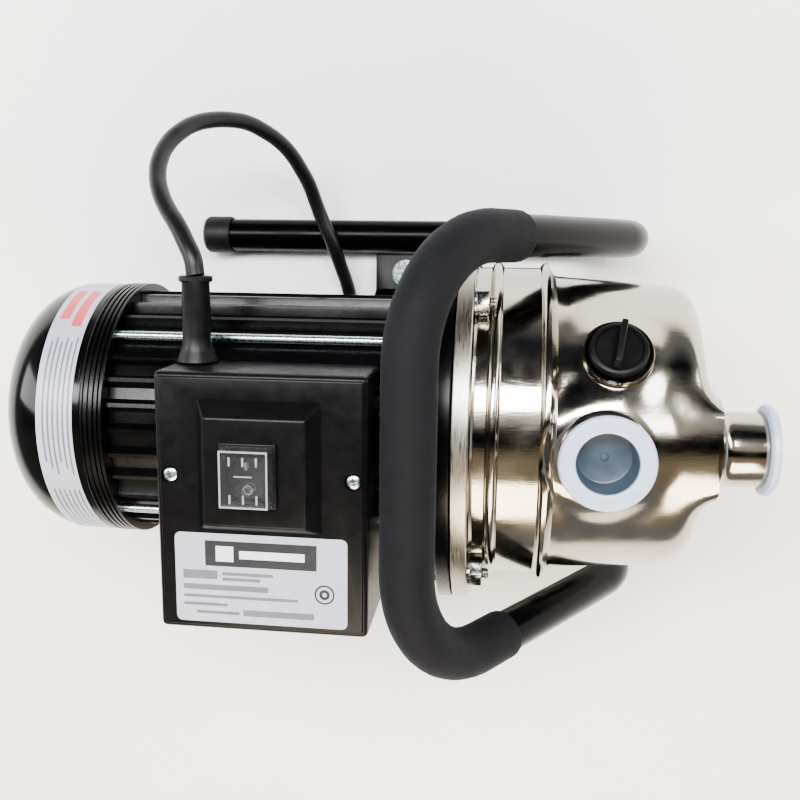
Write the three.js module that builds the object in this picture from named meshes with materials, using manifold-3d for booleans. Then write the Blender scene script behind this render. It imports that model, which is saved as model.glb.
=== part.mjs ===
// A shallow well jet pump: a finned motor, a stainless pump body and a bent tube frame with a gripped handle.
// Millimetres, +Z up. The floor is Z = 0, the shaft runs along +X towards the suction port,
// and the origin is under the middle of the pump. The free cord leaves the terminal box on the +Y side.
import * as THREE from 'three';
import { mergeVertices } from 'three/addons/utils/BufferGeometryUtils.js';
import Module from 'manifold-3d';

const wasm = await Module();
wasm.setup();

// ---------- driving dimensions ----------
const GAP = 0.3; // clearance between pieces that touch
const AXIS_HEIGHT = 127.05; // shaft axis above the floor

// Stations along the shaft, from the fan cover to the joint between motor and pump.
const COVER_END = -205.1;
const COVER_MOUTH = -150;
const SHIELD_FRONT = -137.6;
const HOUSING_FRONT = 11.9;
const JOINT_X = 47.4;

// Lengths from the joint towards the suction port.
const FLANGE_THICK = 8.5;
const BODY_FRONT = 125.6;
const DISCHARGE_X = 73.5;
const PLUG_X = 78.9;
const CAP_FRONT = 157.7;

const COVER_R = 73.8;
const FIN_R = 70;
const FIN_ROOT_R = 65.5;
const HOUSING_BORE = 62;
const SPIGOT_R = 60.8; // stator and end shields fit the bore
const FLANGE_R = 101.8;
const BODY_REAR_R = 82.5; // main section of the pump body, drawn with a slight taper
const BODY_FRONT_R = 78.6;
const BODY_STEP_R = 87; // larger section next to the flange
const BODY_WALL = 1.5;
const BOLT_CIRCLE_R = 93;
const BOLT_ANGLE = 50; // degrees each side of the vertical
const TIE_R = 69; // circle of the four tie rods
const SHAFT_R = 7.5;

const TUBE_R = 11; // frame tube
const TUBE_WALL = 1.5;
const CAP_R = 12.7; // rubber end caps, flattened where they stand
const TUBE_HEIGHT = 12.2; // skid axis above the floor
const SKID_Y = 104;
const SKID_REAR = -140;
const BEND_R = 58;
const BEND_X = 87.1; // where the skid starts to bend up
const LEAN = THREE.MathUtils.degToRad(34.5); // legs lean back from vertical
const HANDLE_HEIGHT = 254.75;
const GRIP_FOOT = 189.75; // the grip ends at this height on each leg
const GRIP_R = 12.8;
const FOOT_REAR = -18; // crossbar and motor foot
const FOOT_FRONT = 11.4;
const FOOT_BOLT = [3, 79]; // X and Y

const PORT_R = 19; // outside of both port tubes
const PORT_BORE = 16.5;
const PORT_CAP_R = 23;
const SUCTION_RISE = 56.7; // suction port above the shaft axis
const DISCHARGE_TOP = 101.3; // cap face above the shaft axis
const PLUG_TILT = THREE.MathUtils.degToRad(34); // fill plug leans towards +Y
const DRAIN_DROP = 50;

const BOX_LOW = [-97.5, -93.8]; // terminal box cover in X and Y
const BOX_HIGH = [8.8, 37.9];
const BOX_BACK = 52; // heights above the shaft axis
const BOX_FACE = 101.1;
const BOX_TOP = 110;
const BOX_WALL = 2.5;
const SWITCH_AT = [-47.6, -10];
const SWITCH_TILT = THREE.MathUtils.degToRad(12);

const CORD_R = 4.75;
const COIL_R = 50.4; // middle of the turns
const COIL_AT = [-92.3, -6];
const RELIEF_AT = [-85.4, 70]; // X, and height above the shaft axis

// ---------- materials ----------
const finish = (color, roughness, metalness) =>
  new THREE.MeshStandardMaterial({ color, roughness, metalness });
const BLACK_PAINT = finish(0x101113, 0.25, 0.1);
const BLACK_PLASTIC = finish(0x17171a, 0.5, 0);
const FOAM = finish(0x2b2c31, 0.9, 0);
const RUBBER = finish(0x121212, 0.8, 0);
const STAINLESS = finish(0xb9b4aa, 0.15, 1);
const ZINC = finish(0xa9c0cc, 0.3, 1);
const STEEL = finish(0x8c8f92, 0.35, 1);
const COPPER = finish(0xa8602f, 0.4, 0.8);
const CAST = finish(0x1b1c1e, 0.5, 0.4);
const CERAMIC = finish(0xe4dfd2, 0.4, 0);
const ENGINEERING_PLASTIC = finish(0x2e3338, 0.5, 0);
const MILKY_PLASTIC = finish(0xc8d4e6, 0.35, 0);
const CLEAR_PLASTIC = finish(0xb8c0c8, 0.1, 0);

// ---------- shapes ----------
function solidOf(geometry) {
  const bare = geometry.clone();
  bare.deleteAttribute('normal');
  bare.deleteAttribute('uv');
  const merged = mergeVertices(bare, 1e-4);
  const vertProperties = new Float32Array(merged.attributes.position.array);
  const triVerts = new Uint32Array(merged.index.array);
  return new wasm.Manifold(new wasm.Mesh({ numProp: 3, vertProperties, triVerts }));
}

function geometryOf(solid) {
  const mesh = solid.getMesh();
  const geometry = new THREE.BufferGeometry();
  geometry.setAttribute('position', new THREE.BufferAttribute(mesh.vertProperties, 3));
  geometry.setIndex(new THREE.BufferAttribute(mesh.triVerts, 1));
  return geometry;
}

const join = (first, ...others) =>
  geometryOf(others.reduce((solid, other) => solid.add(solidOf(other)), solidOf(first)));
const cut = (first, ...others) =>
  geometryOf(others.reduce((solid, other) => solid.subtract(solidOf(other)), solidOf(first)));

// A profile of [along, radius] points turned about the X axis.
// It closes on itself unless it ends on the axis.
function turned(profile, segments = 16) {
  const points = profile.map(([along, radius]) => new THREE.Vector2(radius, along));
  if (THREE.ShapeUtils.area(points) < 0) points.reverse();
  const onAxis = points[0].x === 0 && points[points.length - 1].x === 0;
  if (!onAxis) points.push(points[0].clone());
  return new THREE.LatheGeometry(points, segments).rotateZ(-Math.PI / 2);
}

const ring = (from, to, inner, outer, segments = 16) =>
  turned([[from, inner], [to, inner], [to, outer], [from, outer]], segments);
const rod = (from, to, radius, segments = 10) =>
  turned([[from, 0], [from, radius], [to, radius], [to, 0]], segments);
const hex = (from, to, acrossFlats) => rod(from, to, acrossFlats / Math.sqrt(3), 6);
const upright = (geometry) => geometry.rotateY(-Math.PI / 2); // turns +X to +Z
const block = (low, high) =>
  new THREE.BoxGeometry(high[0] - low[0], high[1] - low[1], high[2] - low[2]).translate(
    (low[0] + high[0]) / 2, (low[1] + high[1]) / 2, (low[2] + high[2]) / 2);

// A quarter round from one [along, radius] point, turning from angle a to b about a centre.
function arc(centre, radius, a, b, steps) {
  const points = [];
  for (let i = 0; i <= steps; i++) {
    const angle = THREE.MathUtils.degToRad(a + ((b - a) * i) / steps);
    points.push([centre[0] + radius * Math.cos(angle), centre[1] + radius * Math.sin(angle)]);
  }
  return points;
}

function outline(points) {
  return new THREE.Shape(points.map(([x, y]) => new THREE.Vector2(x, y)));
}

// A flat outline in Y and Z, given thickness along X.
function plateAlongX(shape, from, to) {
  const flat = new THREE.ExtrudeGeometry(shape, { depth: to - from, bevelEnabled: false, curveSegments: 10 });
  return flat.rotateX(Math.PI / 2).rotateZ(Math.PI / 2).translate(from, 0, 0);
}

// A route through given stations, sampled at the stations themselves.
class Route extends THREE.Curve {
  constructor(stations) {
    super();
    this.stations = stations;
  }
  getPoint(t) {
    const place = t * (this.stations.length - 1);
    const index = Math.min(Math.floor(place), this.stations.length - 2);
    return this.stations[index].clone().lerp(this.stations[index + 1], place - index);
  }
  getUtoTmapping(u) {
    return u;
  }
}

function swept(stations, radius, sides, bore = 0) {
  const shape = new THREE.Shape().absarc(0, 0, radius, 0, 2 * Math.PI);
  if (bore) shape.holes.push(new THREE.Path().absarc(0, 0, bore, 0, 2 * Math.PI));
  const settings = { extrudePath: new Route(stations), steps: stations.length - 1, curveSegments: sides };
  return new THREE.ExtrudeGeometry(shape, settings);
}

const model = new THREE.Group();
const onAxis = new THREE.Group(); // pieces placed by their distance from the shaft axis
onAxis.position.z = AXIS_HEIGHT;
const fromJoint = new THREE.Group(); // pieces placed from the joint between motor and pump
fromJoint.position.x = JOINT_X;
model.add(onAxis);
onAxis.add(fromJoint);

function part(name, geometry, material, parent = onAxis) {
  const mesh = new THREE.Mesh(geometry, material);
  mesh.name = name;
  parent.add(mesh);
  return mesh;
}

// ---------- frame ----------
function frameStations(fromHeight) {
  const side = [new THREE.Vector3(SKID_REAR, SKID_Y, TUBE_HEIGHT)];
  const bendHeight = TUBE_HEIGHT + BEND_R;
  for (const [x, z] of arc([BEND_X, bendHeight], BEND_R, -90, THREE.MathUtils.radToDeg(LEAN), 8))
    side.push(new THREE.Vector3(x, SKID_Y, z));
  const legFoot = side[side.length - 1];
  const legUp = new THREE.Vector3(-Math.sin(LEAN), 0, Math.cos(LEAN));
  const onLeg = (height) => legFoot.clone().addScaledVector(legUp, (height - legFoot.z) / legUp.z);
  side.push(onLeg(GRIP_FOOT));
  const corner = onLeg(HANDLE_HEIGHT);
  const steps = 6;
  for (let i = 0; i <= steps; i++) {
    const angle = (Math.PI / 2) * (i / steps);
    const point = corner.clone().addScaledVector(legUp, -BEND_R * (1 - Math.sin(angle)));
    point.y = SKID_Y - BEND_R * (1 - Math.cos(angle));
    side.push(point);
  }
  const mirrored = side.map((p) => new THREE.Vector3(p.x, -p.y, p.z)).reverse();
  return [...side, ...mirrored].filter((p) => p.z >= fromHeight - 1e-6);
}

function endCap(name, y) {
  const shell = turned([[-142.2, 0], [-142.2, 9], [-139.6, CAP_R], [-122.6, CAP_R], [-122.6, 11.4],
    [-140.4, 11.4], [-140.4, 0]], 16);
  const floor = block([-160, -20, -20], [-120, 20, -TUBE_HEIGHT]);
  part(name, cut(shell, floor), RUBBER, model).position.set(0, y, TUBE_HEIGHT);
}

function footBoltHoles(low, high) {
  const [x, y] = FOOT_BOLT;
  return [-y, y].map((side) => upright(rod(low, high, 4.4)).translate(x, side, 0));
}

function crossBar() {
  const end = SKID_Y - TUBE_R - GAP;
  const bar = block([FOOT_REAR, -end, 19.5], [FOOT_FRONT, end, 22.7]);
  part('frame_crossbar', cut(bar, ...footBoltHoles(10, 30)), BLACK_PAINT, model);
}

// The saddle under the motor, with a foot on each side bolted to the crossbar.
function motorFoot() {
  const inner = 71.4;
  const outer = 74.4;
  const low = 23 - AXIS_HEIGHT;
  const flat = low + 3;
  const under = arc([0, 0], inner, -128, -52, 8);
  const outside = arc([0, 0], outer, -52, -128, 8);
  const right = [[52, -64], [68, flat], [92, flat], [92, low], [66, low], [49, -66]];
  const left = right.map(([y, z]) => [-y, z]).reverse();
  const shape = outline([...under, ...right, ...outside.slice(1, -1), ...left]);
  const saddle = plateAlongX(shape, FOOT_REAR, FOOT_FRONT);
  part('motor_foot', cut(saddle, ...footBoltHoles(low - 9, flat + 9)), BLACK_PAINT);
}

function footBolt(name, y) {
  const bolt = join(hex(-6, -0.3, 13), rod(-1, 20, 4), hex(7, 13, 13));
  part(name, upright(bolt).rotateX(Math.PI), ZINC, model).position.set(FOOT_BOLT[0], y, 26);
}

function frame() {
  part('frame_tube', swept(frameStations(0), TUBE_R, 5, TUBE_R - TUBE_WALL), BLACK_PAINT, model);
  part('foam_grip', swept(frameStations(GRIP_FOOT), GRIP_R, 5, 11.8), FOAM, model);
  endCap('end_cap_left', SKID_Y);
  endCap('end_cap_right', -SKID_Y);
  crossBar();
  motorFoot();
  footBolt('foot_bolt_left', FOOT_BOLT[1]);
  footBolt('foot_bolt_right', -FOOT_BOLT[1]);
}

// ---------- motor ----------
// The housing's section: fins all round, left out beside the four tie rods.
function motorHousing() {
  const fins = 32;
  const points = [];
  for (let i = 0; i < fins; i++) {
    const middle = (i / fins) * 360;
    const fromRod = Math.abs((middle % 90) - 45);
    const tall = fromRod > 7;
    for (const [offset, isTip] of [[-3, false], [-1.3, true], [1.3, true], [3, false]]) {
      const angle = THREE.MathUtils.degToRad(middle + offset);
      const radius = isTip && tall ? FIN_R : FIN_ROOT_R;
      points.push([radius * Math.cos(angle), radius * Math.sin(angle)]);
    }
  }
  const shape = outline(points);
  shape.holes.push(new THREE.Path().absarc(0, 0, HOUSING_BORE, 0, 2 * Math.PI));
  part('motor_housing', plateAlongX(shape, SHIELD_FRONT + GAP, HOUSING_FRONT), BLACK_PAINT);
}

function stator() {
  const slots = 12;
  const core = ring(-105, -20, 33, SPIGOT_R, 20);
  const cuts = [];
  for (let i = 0; i < slots; i++) {
    const slot = block([-110, -3, 30], [-15, 3, 50]);
    cuts.push(slot.rotateX((i / slots) * 2 * Math.PI));
  }
  part('stator_core', cut(core, ...cuts), STEEL);
  const rear = [[-124, 38], [-120, 35], [-105.3, 35], [-105.3, 54], [-120, 54], [-124, 50]];
  part('winding_rear', turned(rear), COPPER);
  const front = [[-1, 38], [-5, 35], [-19.7, 35], [-19.7, 54], [-5, 54], [-1, 50]];
  part('winding_front', turned(front), COPPER);
}

function rearShield() {
  const shell = turned([[COVER_MOUTH + GAP, 74.3], [SHIELD_FRONT, 74.3], [SHIELD_FRONT, SPIGOT_R],
    [-133, SPIGOT_R], [-133, 58], [-139.5, 58], [-139.5, 9.5], [-142, 9.5], [-142, 17.9], [-153, 17.9],
    [-153, 22], [-143, 22], [-143, 73.4], [COVER_MOUTH + GAP, 73.4]], 20);
  const rodHoles = tieRodPlaces().map(([y, z]) => rod(-160, -120, 2.8, 8).translate(0, y, z));
  part('rear_end_shield', cut(shell, ...rodHoles), CAST);
}

function fanCover() {
  const wall = 1.8;
  const round = 36;
  const middle = [COVER_END + round, COVER_R - round];
  const shell = turned([[COVER_END, 0], ...arc(middle, round, 180, 90, 4), [COVER_MOUTH, COVER_R],
    [COVER_MOUTH, COVER_R - wall], ...arc(middle, round - wall, 90, 180, 4), [COVER_END + wall, 0]], 22);
  const slots = [];
  const count = 10;
  for (let i = 0; i < count; i++)
    slots.push(block([COVER_END - 5, -2.5, 12], [COVER_END + 5, 2.5, 36]).rotateX((i / count) * 2 * Math.PI));
  part('fan_cover', cut(shell, ...slots), BLACK_PAINT);
}

function fan() {
  const blades = 8;
  const hub = ring(-188, -162, SHAFT_R + GAP, 13, 12);
  const disc = ring(-165, -162, 12, 58);
  const vanes = [];
  for (let i = 0; i < blades; i++)
    vanes.push(block([-182, -1, 12], [-163, 1, 62]).rotateX((i / blades) * 2 * Math.PI));
  part('cooling_fan', join(hub, disc, ...vanes), ENGINEERING_PLASTIC);
}

function rotor() {
  part('shaft', turned([[-188, 0], [-188, 7], [-186, SHAFT_R], [-112, SHAFT_R], [-112, 9], [-13, 9],
    [-13, SHAFT_R], [44, SHAFT_R], [44, 6], [78, 6], [78, 0]], 16), STEEL);
  part('rotor_core', ring(-111, -14, 9 + GAP, 32.4, 28), STEEL);
  part('rear_bearing', ring(-152.7, -142.3, SHAFT_R + GAP, 17.5, 16), STEEL);
  part('front_bearing', ring(-34, -23, SHAFT_R + GAP, 17.5, 16), STEEL, fromJoint);
}

// The front end bell and flange that carry the pump body.
function motorBracket() {
  const rear = HOUSING_FRONT + GAP - JOINT_X;
  const back = -7.5;
  const shell = turned([[rear, 74], [-24, 74], [back, 82], [back, FLANGE_R], [-GAP, FLANGE_R],
    [-GAP, 34], [-10, 34], [-16, 18], [-16, 10], [-22.7, 10], [-22.7, 17.9], [-34.3, 17.9],
    [-34.3, 22], [-20, 22], [-20, 58], [-40, 58], [-40, SPIGOT_R], [rear, SPIGOT_R]], 20);
  const rods = tieRodPlaces().map(([y, z]) => rod(-45, -25, 2.8, 8).translate(0, y, z));
  const bolts = bodyBoltPlaces().map(([y, z]) => rod(-20, 10, 3.4, 8).translate(0, y, z));
  part('motor_bracket', cut(shell, ...rods, ...bolts), CAST, fromJoint);
}

function tieRodPlaces() {
  return [45, 135, 225, 315].map((degrees) => {
    const angle = THREE.MathUtils.degToRad(degrees);
    return [TIE_R * Math.cos(angle), TIE_R * Math.sin(angle)];
  });
}

function tieRods() {
  tieRodPlaces().forEach(([y, z], i) => {
    const bolt = join(hex(-147.5, -143.3, 6), rod(-144, 22, 2.4, 8));
    part('tie_rod_' + (i + 1), bolt, ZINC).position.set(0, y, z);
  });
}

// ---------- pump ----------
function bodyBoltPlaces() {
  return [90 - BOLT_ANGLE, 90 + BOLT_ANGLE, 270 - BOLT_ANGLE, 270 + BOLT_ANGLE].map((degrees) => {
    const angle = THREE.MathUtils.degToRad(degrees);
    return [BOLT_CIRCLE_R * Math.cos(angle), BOLT_CIRCLE_R * Math.sin(angle)];
  });
}

function bodyBolts() {
  const nut = FLANGE_THICK + GAP;
  bodyBoltPlaces().forEach(([y, z], i) => {
    const bolt = join(hex(-13, -7.8, 10), rod(-8, nut + 11, 3, 8), hex(nut, nut + 5.5, 10));
    part('body_bolt_' + (i + 1), bolt, STEEL, fromJoint).position.set(0, y, z);
  });
}

// Places a geometry built along +X so that it points along the fill plug's axis.
function alongFillAxis(geometry) {
  return upright(geometry).rotateX(-PLUG_TILT).translate(PLUG_X, 0, 0);
}

function pumpBody() {
  const edge = 14; // radius of the front edge
  const corner = [BODY_FRONT - edge, BODY_FRONT_R - edge];
  const w = BODY_WALL;
  const step = BODY_STEP_R;
  const bead = step + 2.8;
  const shell = turned([[GAP, FLANGE_R], [FLANGE_THICK, FLANGE_R], [FLANGE_THICK, step], [16.5, step],
    [19.5, bead], [22.5, step], [43.5, step], [46.5, bead], [50, BODY_REAR_R],
    ...arc(corner, edge, 90, 0, 3), [BODY_FRONT, 0], [BODY_FRONT - w, 0],
    ...arc(corner, edge - w, 0, 90, 3), [50, BODY_REAR_R - w], [45, step - w], [6, step - w],
    [6, 88.5], [2.5, 88.5], [2.5, 89], [GAP, 89]], 24);
  const suctionPad = turned([[BODY_FRONT - 8, 0], [BODY_FRONT - 8, 32], [BODY_FRONT, 35],
    [BODY_FRONT + 5, 27], [BODY_FRONT + 5, 0]]).translate(0, 0, SUCTION_RISE);
  const wallR = 80;
  const dischargePad = upright(turned([[wallR - 12, 0], [wallR - 12, 27], [wallR, 31], [wallR + 5, 26],
    [wallR + 5, 0]])).translate(DISCHARGE_X, 0, 0);
  const fillBoss = alongFillAxis(rod(wallR - 8, wallR + 6, 17.5, 14));
  const drainBoss = rod(BODY_FRONT - 4, BODY_FRONT + 3, 11.5).translate(0, 0, -DRAIN_DROP);
  const chamber = turned([[8, 0], [8, step - w], [45, step - w], [50, BODY_REAR_R - w],
    ...arc(corner, edge - w, 90, 0, 3), [BODY_FRONT - w, 0]], 24);
  const bores = [
    rod(BODY_FRONT - 30, BODY_FRONT + 20, PORT_R + 0.6, 16).translate(0, 0, SUCTION_RISE),
    upright(rod(40, 120, PORT_R + 0.6, 16)).translate(DISCHARGE_X, 0, 0),
    alongFillAxis(rod(40, 120, 9.4, 14)),
    rod(BODY_FRONT - 20, BODY_FRONT + 20, 6.3).translate(0, 0, -DRAIN_DROP),
    ...bodyBoltPlaces().map(([y, z]) => rod(-5, 15, 3.4, 8).translate(0, y, z)),
  ];
  const bosses = cut(join(suctionPad, dischargePad, fillBoss, drainBoss), chamber);
  part('pump_body', cut(join(shell, bosses), ...bores), STAINLESS, fromJoint);
}

function ports() {
  const suction = ring(BODY_FRONT - 8, CAP_FRONT - 4.8, PORT_BORE, PORT_R);
  part('suction_port', suction, STAINLESS, fromJoint).position.z = SUCTION_RISE;
  const discharge = upright(ring(68, DISCHARGE_TOP - 4.8, PORT_BORE, PORT_R));
  part('discharge_port', discharge, STAINLESS, fromJoint).position.x = DISCHARGE_X;
}

// A push-in transit cap: a rolled flange outside the port and a cup inside its bore.
function portCap(face) {
  const cup = PORT_BORE - 0.9;
  return turned([[face - 4.5, PORT_CAP_R - 1], [face - 2.5, PORT_CAP_R], [face, PORT_CAP_R - 1],
    [face, cup - 1], [face - 17, cup - 2], [face - 17, 0], [face - 19, 0], [face - 19, cup - 0.5],
    [face - 4.5, cup]].reverse());
}

function portCaps() {
  part('suction_cap', portCap(CAP_FRONT), MILKY_PLASTIC, fromJoint).position.z = SUCTION_RISE;
  part('discharge_cap', upright(portCap(DISCHARGE_TOP)), MILKY_PLASTIC, fromJoint).position.x = DISCHARGE_X;
}

function fillPlug() {
  const tilted = new THREE.Group();
  tilted.position.x = PLUG_X;
  tilted.rotation.x = -PLUG_TILT;
  fromJoint.add(tilted);
  const rib = block([-2.3, -12.5, 92], [2.3, 12.5, 102]).rotateZ(THREE.MathUtils.degToRad(-10));
  const head = upright(turned([[87.6, 0], [87.6, 14.25], [91.5, 14.25], [93, 12.5], [93, 0]]));
  const stem = upright(rod(75, 88, 8.7, 14));
  part('fill_plug', join(head, stem, rib), BLACK_PLASTIC, tilted);
  part('fill_plug_seal', upright(ring(86.3, 87.3, 9.3, 13)), RUBBER, tilted);
}

function drainPlug() {
  const head = BODY_FRONT + 4.6;
  const plug = join(hex(head, head + 5, 17), rod(head - 11, head + 1, 5.7));
  part('drain_plug', plug, BLACK_PLASTIC, fromJoint).position.z = -DRAIN_DROP;
  const seal = ring(BODY_FRONT + 3.3, BODY_FRONT + 4.3, 6.1, 9, 14);
  part('drain_plug_seal', seal, RUBBER, fromJoint).position.z = -DRAIN_DROP;
}

// The plate behind the impeller, its joint ring and the shaft seal.
function sealing() {
  const plate = turned([[GAP, 87.5], [2, 87.5], [2, 13.9], [-0.4, 13.9], [-0.4, 30], [GAP, 33]], 20);
  part('back_plate', plate, STAINLESS, fromJoint);
  part('body_seal', turned(arc([4.6, 83], 1.7, 0, 270, 3), 20), RUBBER, fromJoint);
  part('seal_seat', ring(-0.8, 4, 7.2, 13.2), CERAMIC, fromJoint);
  const head = turned([[4.3, 6.3], [10.6, 6.3], [10.6, 10], [7, 12], [4.3, 12]]);
  part('seal_head', head, STEEL, fromJoint);
  part('impeller_nut', cut(hex(26.4, 31, 17), rod(20, 40, 6.3)), STEEL, fromJoint);
}

function impeller() {
  const back = ring(11, 13, 6.3, 58);
  const front = ring(19, 21, 17, 58);
  const eye = ring(19, 28, 15.5, 18.5);
  const hub = ring(11, 26, 6.3, 11, 12);
  const vanes = [];
  for (let i = 0; i < 6; i++) {
    const vane = block([12, -1.2, 19], [20, 1.2, 57.5]);
    vanes.push(vane.translate(0, 6, 0).rotateX((i / 6) * 2 * Math.PI));
  }
  part('impeller', join(back, hub, front, eye, ...vanes), STAINLESS, fromJoint);
}

function diffuser() {
  const cup = turned([[5, 64], [5, 68], [32, 68], [36, 60], [36, 25], [42, 25], [42, 21], [32, 21],
    [32, 62], [28, 64]], 20);
  part('diffuser', cup, ENGINEERING_PLASTIC, fromJoint);
}

function ejector() {
  const throat = turned([[38, 20.4], [42.5, 20.4], [42.5, 14], [74, 11], [80, 15], [80, 12.5],
    [72, 7], [58, 7], [38, 16]]);
  part('venturi', throat, ENGINEERING_PLASTIC, fromJoint);
  const jet = turned([[81, 7.5], [102, 14], [102, 22], [105, 22], [105, 10], [83, 4.5], [81, 4.5]]);
  part('nozzle', jet, ENGINEERING_PLASTIC, fromJoint);
}

// ---------- terminal box ----------
function roundedPlate(low, high, radius, depth, bevel) {
  const [x0, y0] = [low[0] + bevel, low[1] + bevel];
  const [x1, y1] = [high[0] - bevel, high[1] - bevel];
  const shape = new THREE.Shape();
  shape.absarc(x1 - radius, y1 - radius, radius, 0, Math.PI / 2);
  shape.absarc(x0 + radius, y1 - radius, radius, Math.PI / 2, Math.PI);
  shape.absarc(x0 + radius, y0 + radius, radius, Math.PI, 1.5 * Math.PI);
  shape.absarc(x1 - radius, y0 + radius, radius, 1.5 * Math.PI, 2 * Math.PI);
  const settings = { depth, bevelSize: bevel, bevelThickness: bevel, bevelSegments: 2, curveSegments: 3,
    bevelEnabled: bevel > 0 };
  return new THREE.ExtrudeGeometry(shape, settings);
}

// A pyramid cut off flat, from a rectangle at one height to another at the next.
// A rectangle is its low and high corners.
function frustum([low, high], bottom, [topLow, topHigh], top) {
  const points = [];
  for (const [from, to, z] of [[low, high, bottom], [topLow, topHigh, top]])
    points.push([from[0], from[1], z], [to[0], from[1], z], [to[0], to[1], z], [from[0], to[1], z]);
  const faces = [[0, 3, 2, 1], [4, 5, 6, 7], [0, 1, 5, 4], [1, 2, 6, 5], [2, 3, 7, 6], [3, 0, 4, 7]];
  const geometry = new THREE.BufferGeometry();
  geometry.setAttribute('position', new THREE.Float32BufferAttribute(points.flat(), 3));
  geometry.setIndex(faces.flatMap(([a, b, c, d]) => [a, b, c, a, c, d]));
  return geometry;
}

const grown = ([low, high], by) => [low.map((v) => v - by), high.map((v) => v + by)];

function terminalBox() {
  const w = BOX_WALL;
  const baseLow = [BOX_LOW[0] + w + GAP, BOX_LOW[1] + w + GAP];
  const baseHigh = [BOX_HIGH[0] - w - GAP, BOX_HIGH[1] - w - GAP];
  const saddle = block([...baseLow, BOX_BACK], [...baseHigh, 75]);
  const motorBody = rod(-130, 60, FIN_R + 0.9, 40);
  const reliefNotch = rod(25, 50, 10).rotateZ(Math.PI / 2).translate(RELIEF_AT[0], 0, RELIEF_AT[1]);
  const well = block([baseLow[0] + w, baseLow[1] + w, BOX_BACK + w], [baseHigh[0] - w, -50, 80]);
  const wireHole = upright(rod(60, 90, 9)).translate(-30, -6, 0);
  part('box_base', cut(saddle, motorBody, well, wireHole, reliefNotch), BLACK_PLASTIC);

  const shell = roundedPlate(BOX_LOW, BOX_HIGH, 3, BOX_FACE - BOX_BACK - 3, 3).translate(0, 0, BOX_BACK);
  const plateauFoot = [[-77.1, -42.3], [-12.2, 26.9]];
  const plateauTop = [[-69.8, -36], [-20.2, 17.2]];
  const plateau = frustum(plateauFoot, BOX_FACE - 2, plateauTop, BOX_TOP);
  const insideHigh = [BOX_HIGH[0] - w, BOX_HIGH[1] - w, BOX_FACE - w];
  const inside = block([BOX_LOW[0] + w, BOX_LOW[1] + w, 40], insideHigh);
  const insidePlateau = frustum(grown(plateauFoot, -3), BOX_FACE - 4, grown(plateauTop, -3), BOX_TOP - w);
  const [sx, sy] = SWITCH_AT;
  const switchHole = block([sx - 12.4, sy - 14.4, 90], [sx + 12.4, sy + 14.4, 120]);
  const below = block([-120, -120, 40], [40, 60, BOX_BACK]);
  const screwHoles = coverScrewPlaces().map(([x, y]) => upright(rod(90, 110, 2.6)).translate(x, y, 0));
  const reliefHole = rod(10, 60, 8).rotateZ(Math.PI / 2).translate(RELIEF_AT[0], 0, RELIEF_AT[1]);
  const tools = [below, motorBody, inside, insidePlateau, switchHole, reliefHole, ...screwHoles];
  part('box_cover', cut(join(shell, plateau), ...tools), BLACK_PLASTIC);
}

function coverScrewPlaces() {
  return [[-90.1, -13.8], [1.6, -13.8]];
}

function boxFittings() {
  coverScrewPlaces().forEach(([x, y], i) => {
    const screw = join(rod(BOX_FACE + GAP, BOX_FACE + 2.2, 4, 12), rod(82, BOX_FACE + 1, 2.1, 8));
    part('cover_screw_' + (i + 1), upright(screw), ZINC).position.set(x, y, 0);
  });
  part('capacitor', rod(-82, -4, 14, 16), ENGINEERING_PLASTIC).position.set(0, -68, 80);
  part('terminal_strip', block([-84, 2, 76], [-66, 24, 86]), ENGINEERING_PLASTIC);
  const relief = turned([[35.6, 0], [35.6, 7.4], [38.3, 7.4], [38.3, 10.5], [45, 8.4], [47, 7.35],
    [78.4, 7.35], [79.4, 8.5], [82.4, 8.5], [82.4, 0]], 12);
  part('strain_relief', relief.rotateZ(Math.PI / 2), RUBBER).position.set(RELIEF_AT[0], 0, RELIEF_AT[1]);
}

function rockerSwitch() {
  const [sx, sy] = SWITCH_AT;
  const placed = new THREE.Group();
  placed.position.set(sx, sy, BOX_TOP);
  onAxis.add(placed);
  const bezel = block([-14, -16, GAP], [14, 16, 2.3]);
  const body = block([-12, -14, -22], [12, 14, 1]);
  const well = block([-10.3, -12.4, -8], [10.3, 12.4, 6]);
  part('switch_housing', cut(join(bezel, body), well), BLACK_PLASTIC, placed);

  // The rocker's side view: its face bends in the middle, and it turns about a pin under the bend.
  const face = Math.tan(SWITCH_TILT) * 10.8;
  const shape = outline([[-10.8, -1.5], [0, -4], [10.8, -1.5], [10.8, 1 + face], [0, 2.2],
    [-10.8, 1 + face]]);
  const lever = plateAlongX(shape, -9.6, 9.6).rotateX(SWITCH_TILT);
  part('rocker', lever, BLACK_PLASTIC, placed);

  const foot = [[-12.9, -15], [12.9, 15]];
  const outside = frustum(foot, 2.6, grown(foot, -1), 9.5);
  const inside = frustum(grown(foot, -0.8), 2, grown(foot, -1.8), 8.7);
  part('switch_cover', cut(outside, inside), CLEAR_PLASTIC, placed);
}

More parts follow.
